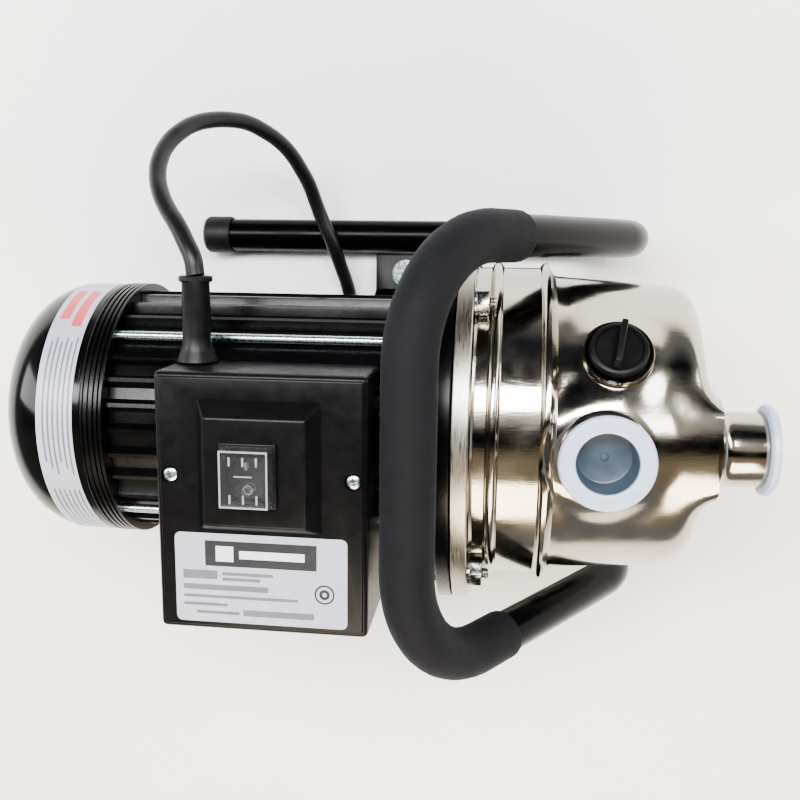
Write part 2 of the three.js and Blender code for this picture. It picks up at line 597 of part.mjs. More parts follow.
// ---------- cord ----------
// Straight out of the strain relief, down in a loop, over the skid, and along the floor to the coil.
function cordLead() {
  const route = [
    [-85.4, 82.4, 197.05], [-87, 91, 196], [-91.5, 99, 193], [-97, 107, 188.5], [-104.5, 115, 181.5],
    [-111.5, 124, 173.5], [-116.5, 133, 164.5], [-119, 143, 154.5], [-118.5, 152.5, 143.5],
    [-115, 160.5, 132.5], [-110, 166.5, 120.5], [-103.5, 170, 108.5], [-96, 171.5, 96.5], [-89, 171, 85],
    [-82, 167.5, 74], [-75.5, 162.5, 63.5], [-70, 155.5, 54], [-65.5, 146.5, 45.5], [-61.5, 137, 38.5],
    [-58.5, 126.5, 33.5], [-55, 116, 30.5], [-50.5, 105, 29], [-46.5, 94, 26], [-43.5, 82, 18.5],
    [-41, 70, 9.5], [-39, 58, 5.5], [-37.8, 46, 4.8], [-37.25, 34, 4.8], [-37.15, 27, 4.8],
  ].map((p) => new THREE.Vector3(...p));
  const smooth = new THREE.CatmullRomCurve3(route, false, 'centripetal');
  const [start, ...rest] = smooth.getSpacedPoints(22);
  const squareEnd = start.clone().add(new THREE.Vector3(0, 1.5, 0));
  part('cord_lead', swept([start, squareEnd, ...rest], CORD_R, 4), RUBBER, model);
}

function cordEnd() {
  const coil = ring(0.05, 4 * CORD_R, COIL_R - 2 * CORD_R, COIL_R + 2 * CORD_R, 28);
  part('cord_coil', upright(coil).translate(...COIL_AT, 0), RUBBER, model);
  const tailY = COIL_AT[1] - COIL_R - CORD_R;
  part('plug', powerPlug(), RUBBER, model).position.set(COIL_AT[0] - 35, tailY, 13);
}

// A moulded three-pin plug lying on its side, its relief towards the coil and its blades towards -X.
function powerPlug() {
  const relief = turned([[-24, 0], [-24, 8], [0, 5.6], [0, 0]], 16);
  const body = turned([[-50, 0], [-50, 12.5], [-46, 13], [-28, 12], [-22, 8], [-22, 0]], 20);
  const blades = [[-6.3, 3, 0.8, 3.2], [6.3, 3, 0.8, 3.2], [0, -6.5, 2.4, 2.4]].map(([y, z, halfY, halfZ]) =>
    block([-67, y - halfY, z - halfZ], [-49, y + halfY, z + halfZ]));
  return join(relief, body, ...blades);
}

frame();
motorHousing();
stator();
rearShield();
fanCover();
fan();
rotor();
motorBracket();
tieRods();
bodyBolts();
pumpBody();
ports();
portCaps();
fillPlug();
drainPlug();
sealing();
impeller();
diffuser();
ejector();
terminalBox();
boxFittings();
rockerSwitch();
cordLead();
cordEnd();

export default model;
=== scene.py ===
"""A shallow well jet pump: finned motor, switch box, polished pump body and bent tube frame.

Blender works in metres. The helpers below take millimetres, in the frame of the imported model:
+X along the shaft towards the suction port, +Y towards the cord, +Z up, floor at Z = 0.
"""
import math

import bpy
from mathutils import Euler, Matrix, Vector


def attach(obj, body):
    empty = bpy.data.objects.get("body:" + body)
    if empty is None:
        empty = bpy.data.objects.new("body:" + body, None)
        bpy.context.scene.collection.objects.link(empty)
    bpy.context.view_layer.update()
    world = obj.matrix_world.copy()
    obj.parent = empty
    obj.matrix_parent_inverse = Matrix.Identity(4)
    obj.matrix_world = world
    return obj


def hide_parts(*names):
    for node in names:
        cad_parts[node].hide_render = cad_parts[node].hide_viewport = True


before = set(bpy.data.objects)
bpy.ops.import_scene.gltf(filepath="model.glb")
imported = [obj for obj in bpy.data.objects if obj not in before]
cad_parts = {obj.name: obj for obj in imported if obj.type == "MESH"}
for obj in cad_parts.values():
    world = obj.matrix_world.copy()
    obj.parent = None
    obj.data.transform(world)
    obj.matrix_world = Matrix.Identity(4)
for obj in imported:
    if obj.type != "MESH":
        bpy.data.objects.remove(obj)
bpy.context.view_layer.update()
bpy.ops.object.select_all(action="DESELECT")

MM = 0.001
MERGE = 0.00001  # metres within which two vertices are one
AXIS = 127.05  # shaft axis above the floor
JOINT = 47.4  # joint between motor and pump, along X
PUMP_FRONT = 125.6  # front of the pump body, from the joint
PORT_BORE = 19.4
SUCTION_RISE = 56.7
DISCHARGE_X = JOINT + 73.5
PLUG_X = JOINT + 78.9
PLUG_TILT = math.radians(34)
DRAIN_DROP = 50
BOX_FACE = AXIS + 101.1
LID_SCREWS, LID_SCREW_Y = (-90.1, 1.6), -13.8
GLAND_X, GLAND_Z = -85.4, AXIS + 70
SWITCH = (-47.6, -10, AXIS + 110)
SKID_Y, SKID_Z = 104, 12.2  # centreline of a skid
BEND_R = 58
LEG_LEAN = 34.5  # degrees back from upright
GRIP_Z, HANDLE_Z = 189.75, 254.75  # where the foam starts, and the handle's centreline
PRINT = 0.1  # thickness of a printed bar on the rating plate
CAMERA_AT = (0.0714, 0.1006, 0.6341)
CAMERA_TURN = (-10.07, 6.845, 0.717)  # degrees
CAMERA_LENS = 39.78
UPRIGHT = (0, -math.pi / 2, 0)  # turns a piece made along +X to stand along +Z
SIDEWAYS = (0, 0, math.pi / 2)  # turns it to lie along +Y


# ---------- camera and light ----------
def add_camera():
    bpy.ops.object.camera_add(location=CAMERA_AT, rotation=[math.radians(a) for a in CAMERA_TURN])
    camera = bpy.context.object
    camera.data.sensor_width = 36
    camera.data.lens = CAMERA_LENS
    camera.data.clip_start = 0.01
    bpy.context.scene.camera = camera


add_camera()


# ---------- shaping ----------
def only(piece):
    """Selects this piece alone."""
    bpy.ops.object.select_all(action="DESELECT")
    piece.select_set(True)
    bpy.context.view_layer.objects.active = piece
    return piece


def place(piece, at=(0, 0, 0), turn=(0, 0, 0)):
    """Turns and moves a piece, then keeps its place in its mesh."""
    only(piece)
    piece.rotation_euler = turn
    piece.location = Vector(at) * MM
    bpy.ops.object.transform_apply(location=True, rotation=True, scale=True)
    return piece


def modify(piece, kind, **settings):
    only(piece)
    modifier = piece.modifiers.new(kind.title(), kind)
    for name, value in settings.items():
        setattr(modifier, name, value)
    bpy.ops.object.modifier_apply(modifier=modifier.name)
    return piece


def soften(piece, width, segments=2, angle=32):
    """Rounds the sharp edges."""
    modify(piece, "BEVEL", width=width * MM, segments=segments, limit_method="ANGLE",
           angle_limit=math.radians(angle))
    return smooth(piece)


def smooth(piece, angle=32):
    only(piece)
    bpy.ops.object.shade_smooth_by_angle(angle=math.radians(angle))
    return piece


def cut(piece, *tools):
    """Takes the tools out of the piece."""
    for tool in tools:
        modify(piece, "BOOLEAN", operation="DIFFERENCE", object=tool, solver="EXACT")
        bpy.data.objects.remove(tool)
    return piece


def fuse(piece, *others):
    for other in others:
        modify(piece, "BOOLEAN", operation="UNION", object=other, solver="EXACT")
        bpy.data.objects.remove(other)
    return piece


def repeat(piece, *names):
    """The piece and copies of it, each with its own mesh, one for each name."""
    made = [piece]
    while len(made) < len(names):
        only(piece)
        bpy.ops.object.duplicate()
        made.append(bpy.context.object)
    for each, name in zip(made, names):
        each.name = name
    return made


def gather(name, *pieces):
    """Puts several meshes in one object."""
    bpy.ops.object.select_all(action="DESELECT")
    for piece in pieces:
        piece.select_set(True)
    bpy.context.view_layer.objects.active = pieces[0]
    bpy.ops.object.join()
    pieces[0].name = name
    return pieces[0]


def draw(name, points):
    """Draws a line through points one vertex at a time, and stays in edit mode."""
    bpy.ops.object.select_all(action="DESELECT")
    bpy.ops.mesh.primitive_plane_add(size=MM, location=Vector(points[0]) * MM)
    piece = bpy.context.object
    piece.name = name
    place(piece, points[0])
    bpy.ops.object.mode_set(mode="EDIT")
    bpy.ops.mesh.select_mode(type="VERT")
    bpy.ops.mesh.select_all(action="SELECT")
    bpy.ops.mesh.merge(type="CENTER")
    for a, b in zip(points, points[1:]):
        step = (Vector(b) - Vector(a)) * MM
        bpy.ops.mesh.extrude_region_move(TRANSFORM_OT_translate={"value": step})
    return piece


def close_up():
    """Merges doubles, points the faces outwards and leaves edit mode."""
    bpy.ops.mesh.select_all(action="SELECT")
    bpy.ops.mesh.remove_doubles(threshold=MERGE)
    bpy.ops.mesh.normals_make_consistent(inside=False)
    bpy.ops.object.mode_set(mode="OBJECT")


def turned(name, outline, steps=72, sweep=360, start=0):
    """Spins an outline of (along X, radius) points about the X axis."""
    piece = draw(name, [(along, 0, radius) for along, radius in outline])
    bpy.ops.mesh.select_all(action="SELECT")
    bpy.ops.mesh.spin(steps=steps, angle=math.radians(sweep), center=(0, 0, 0), axis=(1, 0, 0))
    close_up()
    if start:
        place(piece, turn=(math.radians(start), 0, 0))
    return smooth(piece)


def ring(name, start, end, inner, outer, steps=72):
    return turned(name, [(start, inner), (start, outer), (end, outer), (end, inner), (start, inner)], steps)


def rod(name, start, end, radius, steps=48):
    return turned(name, [(start, 0), (start, radius), (end, radius), (end, 0)], steps)


def hexagon(name, start, end, across):
    """A hexagonal head along X with its corners taken off."""
    bpy.ops.object.select_all(action="DESELECT")
    bpy.ops.mesh.primitive_cylinder_add(vertices=6, radius=across / math.sqrt(3) * MM,
                                        depth=(end - start) * MM, rotation=(0, math.pi / 2, 0))
    head = bpy.context.object
    head.name = name
    place(head, ((start + end) / 2, 0, 0), (0, math.pi / 2, 0))
    corner = across / math.sqrt(3)
    chamfer = turned("chamfer", [(start, 0), (start, corner * 0.93), (start + 1, corner * 1.01),
                                 (end - 1, corner * 1.01), (end, corner * 0.93), (end, 0)], 36)
    modify(head, "BOOLEAN", operation="INTERSECT", object=chamfer, solver="EXACT")
    bpy.data.objects.remove(chamfer)
    return soften(head, 0.25, 1)


def thread(name, start, end, radius, pitch=1.25):
    """A threaded stud, its thread drawn as ridges."""
    outline = [(start, 0), (start, radius - 0.5)]
    along = start
    while along + pitch <= end:
        outline += [(along + pitch / 2, radius), (along + pitch, radius - 0.6)]
        along += pitch
    return turned(name, outline + [(end, radius - 0.9), (end, 0)], 36)


def block(name, low, high):
    bpy.ops.object.select_all(action="DESELECT")
    middle = (Vector(low) + Vector(high)) / 2
    bpy.ops.mesh.primitive_cube_add(size=1, location=middle * MM)
    piece = bpy.context.object
    piece.name = name
    piece.scale = (Vector(high) - Vector(low)) * MM
    return place(piece, middle)


def slab(name, outline, start, end):
    """A flat outline of (Y, Z) points, given thickness along X."""
    piece = draw(name, [(start, y, z) for y, z in outline + outline[:1]])
    bpy.ops.mesh.select_all(action="SELECT")
    bpy.ops.mesh.remove_doubles(threshold=MERGE)
    bpy.ops.mesh.edge_face_add()
    bpy.ops.mesh.extrude_region_move(TRANSFORM_OT_translate={"value": ((end - start) * MM, 0, 0)})
    close_up()
    return piece


def tube(name, points, radius, resolution=8):
    """Sweeps a round bar along a line of points."""
    piece = draw(name, points)
    bpy.ops.object.mode_set(mode="OBJECT")
    bpy.ops.object.convert(target="CURVE")
    piece = bpy.context.object
    piece.data.bevel_depth = radius * MM
    piece.data.bevel_resolution = resolution
    piece.data.use_fill_caps = True
    bpy.ops.object.convert(target="MESH")
    piece = bpy.context.object
    bpy.ops.object.mode_set(mode="EDIT")
    close_up()
    return smooth(piece, 40)


def arc(centre, radius, start, end, steps):
    """Points on an arc about (along, radius) centre, from one angle in degrees to another."""
    angles = [math.radians(start + (end - start) * i / steps) for i in range(steps + 1)]
    return [(centre[0] + radius * math.cos(a), centre[1] + radius * math.sin(a)) for a in angles]


def choose(piece, wanted):
    """Enters edit mode with the vertices selected whose place in millimetres is wanted."""
    only(piece)
    for vertex in piece.data.vertices:
        vertex.select = bool(wanted(vertex.co / MM))
    for edge in piece.data.edges:
        edge.select = all(piece.data.vertices[i].select for i in edge.vertices)
    for face in piece.data.polygons:
        face.select = all(piece.data.vertices[i].select for i in face.vertices)
    bpy.ops.object.mode_set(mode="EDIT")


# ---------- cord ----------
CORD_R = 4.75
COIL_AT = (-92.3, -6)
OUTER, INNER = 55.15, 45.65  # radii of the coil's two columns of turns
LOWER, UPPER = 4.8, 14.3  # heights of its two layers
TAIL_Y = COIL_AT[1] - OUTER
LEAD_ROUTE = [
    (-85.4, 82.4, 197.05), (-87, 91, 196), (-91.5, 99, 193), (-97, 107, 188.5), (-104.5, 115, 181.5),
    (-111.5, 124, 173.5), (-116.5, 133, 164.5), (-119, 143, 154.5), (-118.5, 152.5, 143.5),
    (-115, 160.5, 132.5), (-110, 166.5, 120.5), (-103.5, 170, 108.5), (-96, 171.5, 96.5), (-89, 171, 85),
    (-82, 167.5, 74), (-75.5, 162.5, 63.5), (-70, 155.5, 54), (-65.5, 146.5, 45.5), (-61.5, 137, 38.5),
    (-58.5, 126.5, 33.5), (-55, 116, 30.5), (-50.5, 105, 29), (-46.5, 94, 26), (-43.5, 82, 18.5),
    (-41, 70, 9.5), (-39, 58, 5.5), (-37.8, 46, 4.8), (-37.25, 34, 4.8), (-37.15, 27, 4.8),
    (-37.15, 15, 4.8), (-37.15, 4, 4.8),
]


def coil_route():
    """Round on the floor outside and then inside, up, and round inside and then outside on top."""
    changes = [  # by this many degrees the cord has reached this radius and height
        (0, OUTER, LOWER), (325, OUTER, LOWER), (365, INNER, LOWER), (690, INNER, LOWER), (735, INNER, UPPER),
        (1050, INNER, UPPER), (1095, OUTER, UPPER), (1530, OUTER, UPPER),
    ]
    route = []
    for (a0, r0, z0), (a1, r1, z1) in zip(changes, changes[1:]):
        steps = round((a1 - a0) / 10)
        for i in range(steps):
            share = i / steps
            ease = share * share * (3 - 2 * share)
            angle = -math.radians(a0 + (a1 - a0) * share)
            radius = r0 + (r1 - r0) * ease
            route.append((COIL_AT[0] + radius * math.cos(angle), COIL_AT[1] + radius * math.sin(angle),
                          z0 + (z1 - z0) * ease))
    tail = ((0, UPPER), (12, 14), (24, 13.3), (36, 13))
    return route + [(COIL_AT[0] - along, TAIL_Y, height) for along, height in tail]


def add_cord():
    route = LEAD_ROUTE + coil_route()
    line = bpy.data.curves.new("power_cord", "CURVE")
    line.dimensions = "3D"
    spline = line.splines.new("BEZIER")
    spline.bezier_points.add(len(route) - 1)
    # The bevel is a metre deep and each point scales it down, so that the cord's own box is its real size.
    for point, at in zip(spline.bezier_points, route):
        point.co = Vector(at) * MM
        point.radius = CORD_R * MM
        point.handle_left_type = point.handle_right_type = "AUTO"
    spline.resolution_u = 5
    line.bevel_depth = 1
    line.bevel_resolution = 6
    line.use_fill_caps = True
    cord = bpy.data.objects.new("power_cord", line)
    bpy.context.scene.collection.objects.link(cord)
    return cord


cord = add_cord()


# ---------- finishes ----------
CLOUDS = "ShaderNodeTexNoise"


def colour(code):
    """sRGB hex to linear."""
    parts = [int(code[i:i + 2], 16) / 255 for i in (1, 3, 5)]
    return [p / 12.92 if p <= 0.04045 else ((p + 0.055) / 1.055) ** 2.4 for p in parts] + [1]


def add_node(tree, kind, inputs=None, **settings):
    made = tree.nodes.new(kind)
    for name, value in settings.items():
        setattr(made, name, value)
    for name, value in (inputs or {}).items():
        if isinstance(value, bpy.types.NodeSocket):
            tree.links.new(value, made.inputs[name])
        else:
            made.inputs[name].default_value = value
    return made


def new_finish(name, **settings):
    """A material whose surface shader takes these settings. Returns it with its tree, shader and place."""
    made = bpy.data.materials.new(name)
    made.use_nodes = True
    tree = made.node_tree
    shader = tree.nodes["Principled BSDF"]
    for key, value in settings.items():
        shader.inputs[key.replace("_", " ")].default_value = value
    place_in_mesh = tree.nodes.new("ShaderNodeTexCoord").outputs["Object"]
    return made, tree, shader, place_in_mesh


def per_mm(size):
    """The pattern scale that gives features of this size in millimetres."""
    return 1 / (size * MM)


def lay_finish(tree, shader, tones=None, colours=None, worn=None, rough=None, height=None, depth=0.0, strength=1.0):
    """Takes patterns to the shader: they mix two colours, spread the roughness over a range and raise a relief."""
    if tones:
        mix = add_node(tree, "ShaderNodeMix", {"Factor": tones}, data_type="RGBA")
        mix.inputs["A"].default_value = colour(colours[0])
        mix.inputs["B"].default_value = colour(colours[1])
        tree.links.new(mix.outputs["Result"], shader.inputs["Base Color"])
    if worn:
        limits = {"Value": worn, "From Min": 0.3, "From Max": 0.7, "To Min": rough[0], "To Max": rough[1]}
        tree.links.new(add_node(tree, "ShaderNodeMapRange", limits).outputs[0], shader.inputs["Roughness"])
    if height:
        bump = add_node(tree, "ShaderNodeBump", {"Height": height, "Distance": depth * MM, "Strength": strength})
        tree.links.new(bump.outputs[0], shader.inputs["Normal"])


def enamel(name, dark, light, rough, peel=0.02, shine=0.3):
    """Gloss enamel sprayed on steel: deep black with a slight orange peel and faint dulling from handling."""
    made, tree, shader, where = new_finish(name, IOR=1.5, Specular_IOR_Level=shine)
    clouds = add_node(tree, CLOUDS, {"Vector": where, "Scale": per_mm(18)}).outputs[0]
    handling = add_node(tree, CLOUDS, {"Vector": where, "Scale": per_mm(25), "Detail": 5}).outputs[0]
    orange_peel = add_node(tree, CLOUDS, {"Vector": where, "Scale": per_mm(3), "Detail": 1}).outputs[0]
    lay_finish(tree, shader, clouds, (dark, light), handling, (rough * 0.8, rough * 1.3), orange_peel, peel)
    return made


def moulded_plastic(name, dark, light, rough, grain=0.6, depth=0.02):
    """Injection moulded ABS with a spark-eroded grain: black, softly shiny."""
    made, tree, shader, where = new_finish(name, IOR=1.53, Specular_IOR_Level=0.2)
    clouds = add_node(tree, CLOUDS, {"Vector": where, "Scale": per_mm(12), "Detail": 3}).outputs[0]
    handling = add_node(tree, CLOUDS, {"Vector": where, "Scale": per_mm(6), "Detail": 4}).outputs[0]
    spark_grain = add_node(tree, CLOUDS, {"Vector": where, "Scale": per_mm(grain), "Detail": 3}).outputs[0]
    lay_finish(tree, shader, clouds, (dark, light), handling, (rough * 0.88, rough * 1.12), spark_grain, depth)
    return made


def rubber(name, dark, light, rough, grain=1.2):
    """Moulded or extruded rubber: nearly matte, with a faint bloom."""
    made, tree, shader, where = new_finish(name, IOR=1.52, Specular_IOR_Level=0.26)
    clouds = add_node(tree, CLOUDS, {"Vector": where, "Scale": per_mm(8), "Detail": 4}).outputs[0]
    bloom = add_node(tree, CLOUDS, {"Vector": where, "Scale": per_mm(5)}).outputs[0]
    skin = add_node(tree, CLOUDS, {"Vector": where, "Scale": per_mm(grain), "Detail": 4}).outputs[0]
    lay_finish(tree, shader, clouds, (dark, light), bloom, (rough * 0.9, rough * 1.1), skin, 0.03)
    return made


def foam_sleeve():
    """Closed-cell nitrile foam: matte, with cells about half a millimetre across, drawn at 1.3 mm to show."""
    made, tree, shader, where = new_finish("nitrile_foam", IOR=1.45, Specular_IOR_Level=0.22, Sheen_Weight=0.08,
                                          Sheen_Roughness=0.4)
    shader.inputs["Sheen Tint"].default_value = colour("#7d869a")
    cells = add_node(tree, "ShaderNodeTexVoronoi", {"Vector": where, "Scale": per_mm(1.3)}).outputs["Distance"]
    blotches = add_node(tree, CLOUDS, {"Vector": where, "Scale": per_mm(9), "Detail": 6}).outputs[0]
    both = add_node(tree, "ShaderNodeMath", {0: cells, 1: blotches}, operation="MULTIPLY").outputs[0]
    lay_finish(tree, shader, blotches, ("#0b0c0e", "#1d1e23"), blotches, (0.62, 0.8), both, 0.35, 0.6)
    return made


def polished_stainless():
    """Deep-drawn 304 sheet, mirror polished: warm bright metal whose reflections waver where the sheet was drawn."""
    made, tree, shader, where = new_finish("polished_stainless", Metallic=1)
    clouds = add_node(tree, CLOUDS, {"Vector": where, "Scale": per_mm(40), "Detail": 4}).outputs[0]
    handling = add_node(tree, CLOUDS, {"Vector": where, "Scale": per_mm(14), "Detail": 6}).outputs[0]
    drawn = add_node(tree, CLOUDS, {"Vector": where, "Scale": per_mm(26), "Detail": 1}).outputs[0]
    along = add_node(tree, "ShaderNodeMapping", {"Vector": where, "Scale": (0.25, 1, 1)}).outputs[0]
    scuffs = add_node(tree, CLOUDS, {"Vector": along, "Scale": per_mm(1.6), "Detail": 5}).outputs[0]
    height = add_node(tree, "ShaderNodeMath", {0: drawn, 1: 7.0, 2: scuffs}, operation="MULTIPLY_ADD").outputs[0]
    lay_finish(tree, shader, clouds, ("#a9a297", "#c0b9af"), handling, (0.09, 0.2), height, 0.035)
    return made


def brushed_steel(name, dark, light, rough, stretch, metal=1.0):
    """Steel with fine parallel tool marks, about a quarter of a millimetre apart, drawn at half to show."""
    made, tree, shader, where = new_finish(name, Metallic=metal)
    drawn_out = add_node(tree, "ShaderNodeMapping", {"Vector": where, "Scale": stretch}).outputs[0]
    marks = add_node(tree, CLOUDS, {"Vector": drawn_out, "Scale": per_mm(0.5), "Detail": 4}).outputs[0]
    lay_finish(tree, shader, marks, (dark, light), marks, (rough * 0.75, rough * 1.3), marks, 0.03)
    return made


def zinc_plate():
    """Bright zinc on a steel bolt: silvery with a cool tint and cloudy patches."""
    made, tree, shader, where = new_finish("bright_zinc", Metallic=1)
    clouds = add_node(tree, CLOUDS, {"Vector": where, "Scale": per_mm(3), "Detail": 4}).outputs[0]
    patches = add_node(tree, CLOUDS, {"Vector": where, "Scale": per_mm(2), "Detail": 4}).outputs[0]
    lay_finish(tree, shader, clouds, ("#9fb2bb", "#d3dee2"), patches, (0.2, 0.36))
    return made


def milky_cap():
    """Low-density polyethylene: cloudy blue-white and softly waxy."""
    made, tree, shader, where = new_finish(
        "milky_polyethylene", IOR=1.51, Subsurface_Weight=0.3, Subsurface_Scale=0.004, Transmission_Weight=0.08)
    clouds = add_node(tree, CLOUDS, {"Vector": where, "Scale": per_mm(9), "Detail": 3}).outputs[0]
    wax = add_node(tree, CLOUDS, {"Vector": where, "Scale": per_mm(6)}).outputs[0]
    sink = add_node(tree, CLOUDS, {"Vector": where, "Scale": per_mm(8), "Detail": 1}).outputs[0]
    lay_finish(tree, shader, clouds, ("#a8b9d3", "#c6d4e8"), wax, (0.28, 0.4), sink, 0.05)
    return made


def shaded_cup_finish():
    """The same polyethylene where it is thin over a dark bore, darkened as painted shade for the inside of the cup:
    smoky blue-grey.
    """
    made, tree, shader, where = new_finish("polyethylene_painted_shade", IOR=1.51, Specular_IOR_Level=0.4)
    clouds = add_node(tree, CLOUDS, {"Vector": where, "Scale": per_mm(12), "Detail": 3}).outputs[0]
    wax = add_node(tree, CLOUDS, {"Vector": where, "Scale": per_mm(6)}).outputs[0]
    lay_finish(tree, shader, clouds, ("#3f4a57", "#55616f"), wax, (0.3, 0.45))
    return made


def clear_vinyl():
    """Soft clear vinyl over the switch: nearly colourless, glossy and slightly wavy."""
    made, tree, shader, where = new_finish("clear_vinyl", IOR=1.5, Transmission_Weight=0.95, Alpha=0.34)
    shader.inputs["Base Color"].default_value = colour("#d7dde2")
    handling = add_node(tree, CLOUDS, {"Vector": where, "Scale": per_mm(3), "Detail": 3}).outputs[0]
    waves = add_node(tree, CLOUDS, {"Vector": where, "Scale": per_mm(4)}).outputs[0]
    lay_finish(tree, shader, worn=handling, rough=(0.05, 0.15), height=waves, depth=0.05)
    return made


def label_film(name, dark, light, rough=0.35):
    """Printed polyester film: satin, with a faint mottle."""
    made, tree, shader, where = new_finish(name, IOR=1.6)
    mottle = add_node(tree, CLOUDS, {"Vector": where, "Scale": per_mm(7), "Detail": 4}).outputs[0]
    handling = add_node(tree, CLOUDS, {"Vector": where, "Scale": per_mm(2), "Detail": 3}).outputs[0]
    lay_finish(tree, shader, mottle, (dark, light), handling, (rough * 0.9, rough * 1.15))
    return made


FRAME_ENAMEL = enamel("frame_enamel", "#040405", "#090a0c", 0.22, shine=0.09)
MOTOR_ENAMEL = enamel("motor_enamel", "#050506", "#0b0b0d", 0.24, 0.035)
COVER_ENAMEL = enamel("cover_enamel", "#060607", "#0d0e10", 0.13, 0.012)
FOAM = foam_sleeve()
CAP_RUBBER = rubber("cap_rubber", "#0e0e10", "#19191b", 0.5)
RELIEF_RUBBER = rubber("relief_vinyl", "#0c0c0e", "#17181b", 0.38)
CORD_JACKET = rubber("cord_jacket", "#0b0b0d", "#191a1d", 0.34, 2.5)
SEAL_RUBBER = rubber("seal_rubber", "#0b0b0b", "#161616", 0.6)
BOX_PLASTIC = moulded_plastic("box_abs", "#0b0a0c", "#131315", 0.33)
KNOB_PLASTIC = moulded_plastic("knob_polypropylene", "#09090b", "#141417", 0.4, 0.9)
SWITCH_PLASTIC = moulded_plastic("switch_nylon", "#101114", "#1a1b20", 0.3, 0.9)
FAN_PLASTIC = moulded_plastic("fan_nylon", "#22262a", "#32373c", 0.45)
STAINLESS = polished_stainless()
RIM_STAINLESS = brushed_steel("rim_stainless", "#8f8a82", "#c6c0b5", 0.34, (1, 0.06, 0.06))
PLAIN_STEEL = brushed_steel("machined_steel", "#7d8083", "#a5a8aa", 0.34, (0.1, 1, 1))
BOLT_STEEL = brushed_steel("bolt_steel", "#8f9190", "#c9c8c2", 0.24, (0.3, 1, 1))
WINDING = brushed_steel("varnished_copper", "#8a4a22", "#b8703c", 0.35, (1, 0.08, 0.08), 0.85)
BRASS = brushed_steel("plug_brass", "#a88a4a", "#cdb47a", 0.3, (0.1, 1, 1))
ZINC = zinc_plate()
MILKY = milky_cap()
# The second cap finish is painted shade for the inside of the cup.
CUP_PAINTED_SHADE = shaded_cup_finish()
CLEAR = clear_vinyl()
CERAMIC = label_film("seal_ceramic", "#d8d2c4", "#ece7dc", 0.3)
LABEL = label_film("label_film", "#9fa3b2", "#b4b8c6")
PRINT_DARK = label_film("dark_print", "#24242a", "#34343b")
PRINT_GREY = label_film("grey_print", "#5f616d", "#74767f")
PRINT_RED = label_film("red_print", "#c0424f", "#d25f6a")
PRINT_WHITE = label_film("white_print", "#c9cbd2", "#e3e4e8")
SWITCH_PRINT = label_film("switch_print", "#6d7076", "#84878c")
FROSTED = label_film("frosted_vinyl", "#7e8188", "#9da1a8")


def wear(piece, *finishes):
    piece.data.materials.clear()
    for made in finishes:
        piece.data.materials.append(made)
    return piece


def finish_off(piece, finish, slot, body, *nodes):
    """Gives a piece its finish, unless it has it already, and its body, and hides the nodes that it stands for."""
    if finish:
        wear(piece, finish)
    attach(piece, body)
    if nodes:
        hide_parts(*nodes)
    return piece


# ---------- frame ----------
def frame_path(lowest=0.0):
    """The tube's centreline above a height, from the +Y skid over the handle to the -Y skid."""
    lean = math.radians(LEG_LEAN)
    side = [(-140, SKID_Y, SKID_Z)]
    side += [(x, SKID_Y, z) for x, z in arc((87.1, SKID_Z + BEND_R), BEND_R, -90, LEG_LEAN, 20)]
    foot = Vector(side[-1])
    up = Vector((-math.sin(lean), 0, math.cos(lean)))

    def on_leg(height):
        return foot + up * ((height - foot.z) / up.z)

    side.append(tuple(on_leg(GRIP_Z)))
    corner = on_leg(HANDLE_Z)
    for i in range(17):
        angle = math.pi / 2 * i / 16
        point = corner - up * (BEND_R * (1 - math.sin(angle)))
        side.append((point.x, SKID_Y - BEND_R * (1 - math.cos(angle)), point.z))
    whole = side + [(x, -y, z) for x, y, z in reversed(side)]
    return [p for p in whole if p[2] >= lowest - 0.001]


def add_frame():
    bar = tube("bent_tube", frame_path(), 11)
    finish_off(bar, FRAME_ENAMEL, "frame_paint", "base", "frame_tube")
    grip = soften(tube("foam_sleeve", frame_path(GRIP_Z), 12.8), 1, 3, 60)
    finish_off(grip, FOAM, "foam", "base", "foam_grip")

    boot = [(-142.2, 0), (-142.2, 8.5), (-141.3, 11), (-139.4, 12.5), (-137.5, 12.7), (-124, 12.7),
            (-122.6, 12.2), (-122.6, 11.1), (-140.3, 11.1), (-140.3, 0)]
    cap = turned("skid_boot", boot, 48)
    bpy.ops.object.mode_set(mode="EDIT")
    bpy.ops.mesh.select_all(action="SELECT")
    bpy.ops.mesh.bisect(plane_co=(0, 0, -SKID_Z * MM), plane_no=(0, 0, 1), use_fill=True, clear_inner=True)
    close_up()
    caps = repeat(cap, "skid_boot_left", "skid_boot_right")
    for cap, name, y in zip(caps, ("left", "right"), (SKID_Y, -SKID_Y)):
        place(cap, (0, y, SKID_Z))
        finish_off(smooth(cap, 40), CAP_RUBBER, "black_rubber", "base", "end_cap_" + name)

    bar = soften(block("cross_plate", (-18, -92.7, 19.5), (11.4, 92.7, 22.7)), 0.8)
    finish_off(bar, FRAME_ENAMEL, "frame_paint", "base", "frame_crossbar")

    low = 23 - AXIS
    under = arc((0, 0), 71.4, -128, -52, 24)
    outside = arc((0, 0), 74.4, -52, -128, 24)
    right = [(52, -64), (68, low + 3), (92, low + 3), (92, low), (66, low), (49, -66)]
    left = [(-y, z) for y, z in reversed(right)]
    saddle = slab("motor_saddle", under + right + outside[1:-1] + left, -18, 11.4)
    place(soften(saddle, 0.9), (0, 0, AXIS))
    finish_off(saddle, FRAME_ENAMEL, "frame_paint", "base", "motor_foot")

    washer = soften(ring("washer", -0.3, 0.9, 4, 9.5), 0.3, 1)
    screw = gather("foot_screw", hexagon("head", 0.3, 6, 13), washer, thread("shank", -20, 1, 4),
                   hexagon("nut", -13, -7, 13))
    screws = repeat(screw, "foot_screw_left", "foot_screw_right")
    for screw, name, y in zip(screws, ("left", "right"), (79, -79)):
        place(screw, (3, y, 26), UPRIGHT)
        finish_off(screw, ZINC, "zinc", "base", "foot_bolt_" + name)


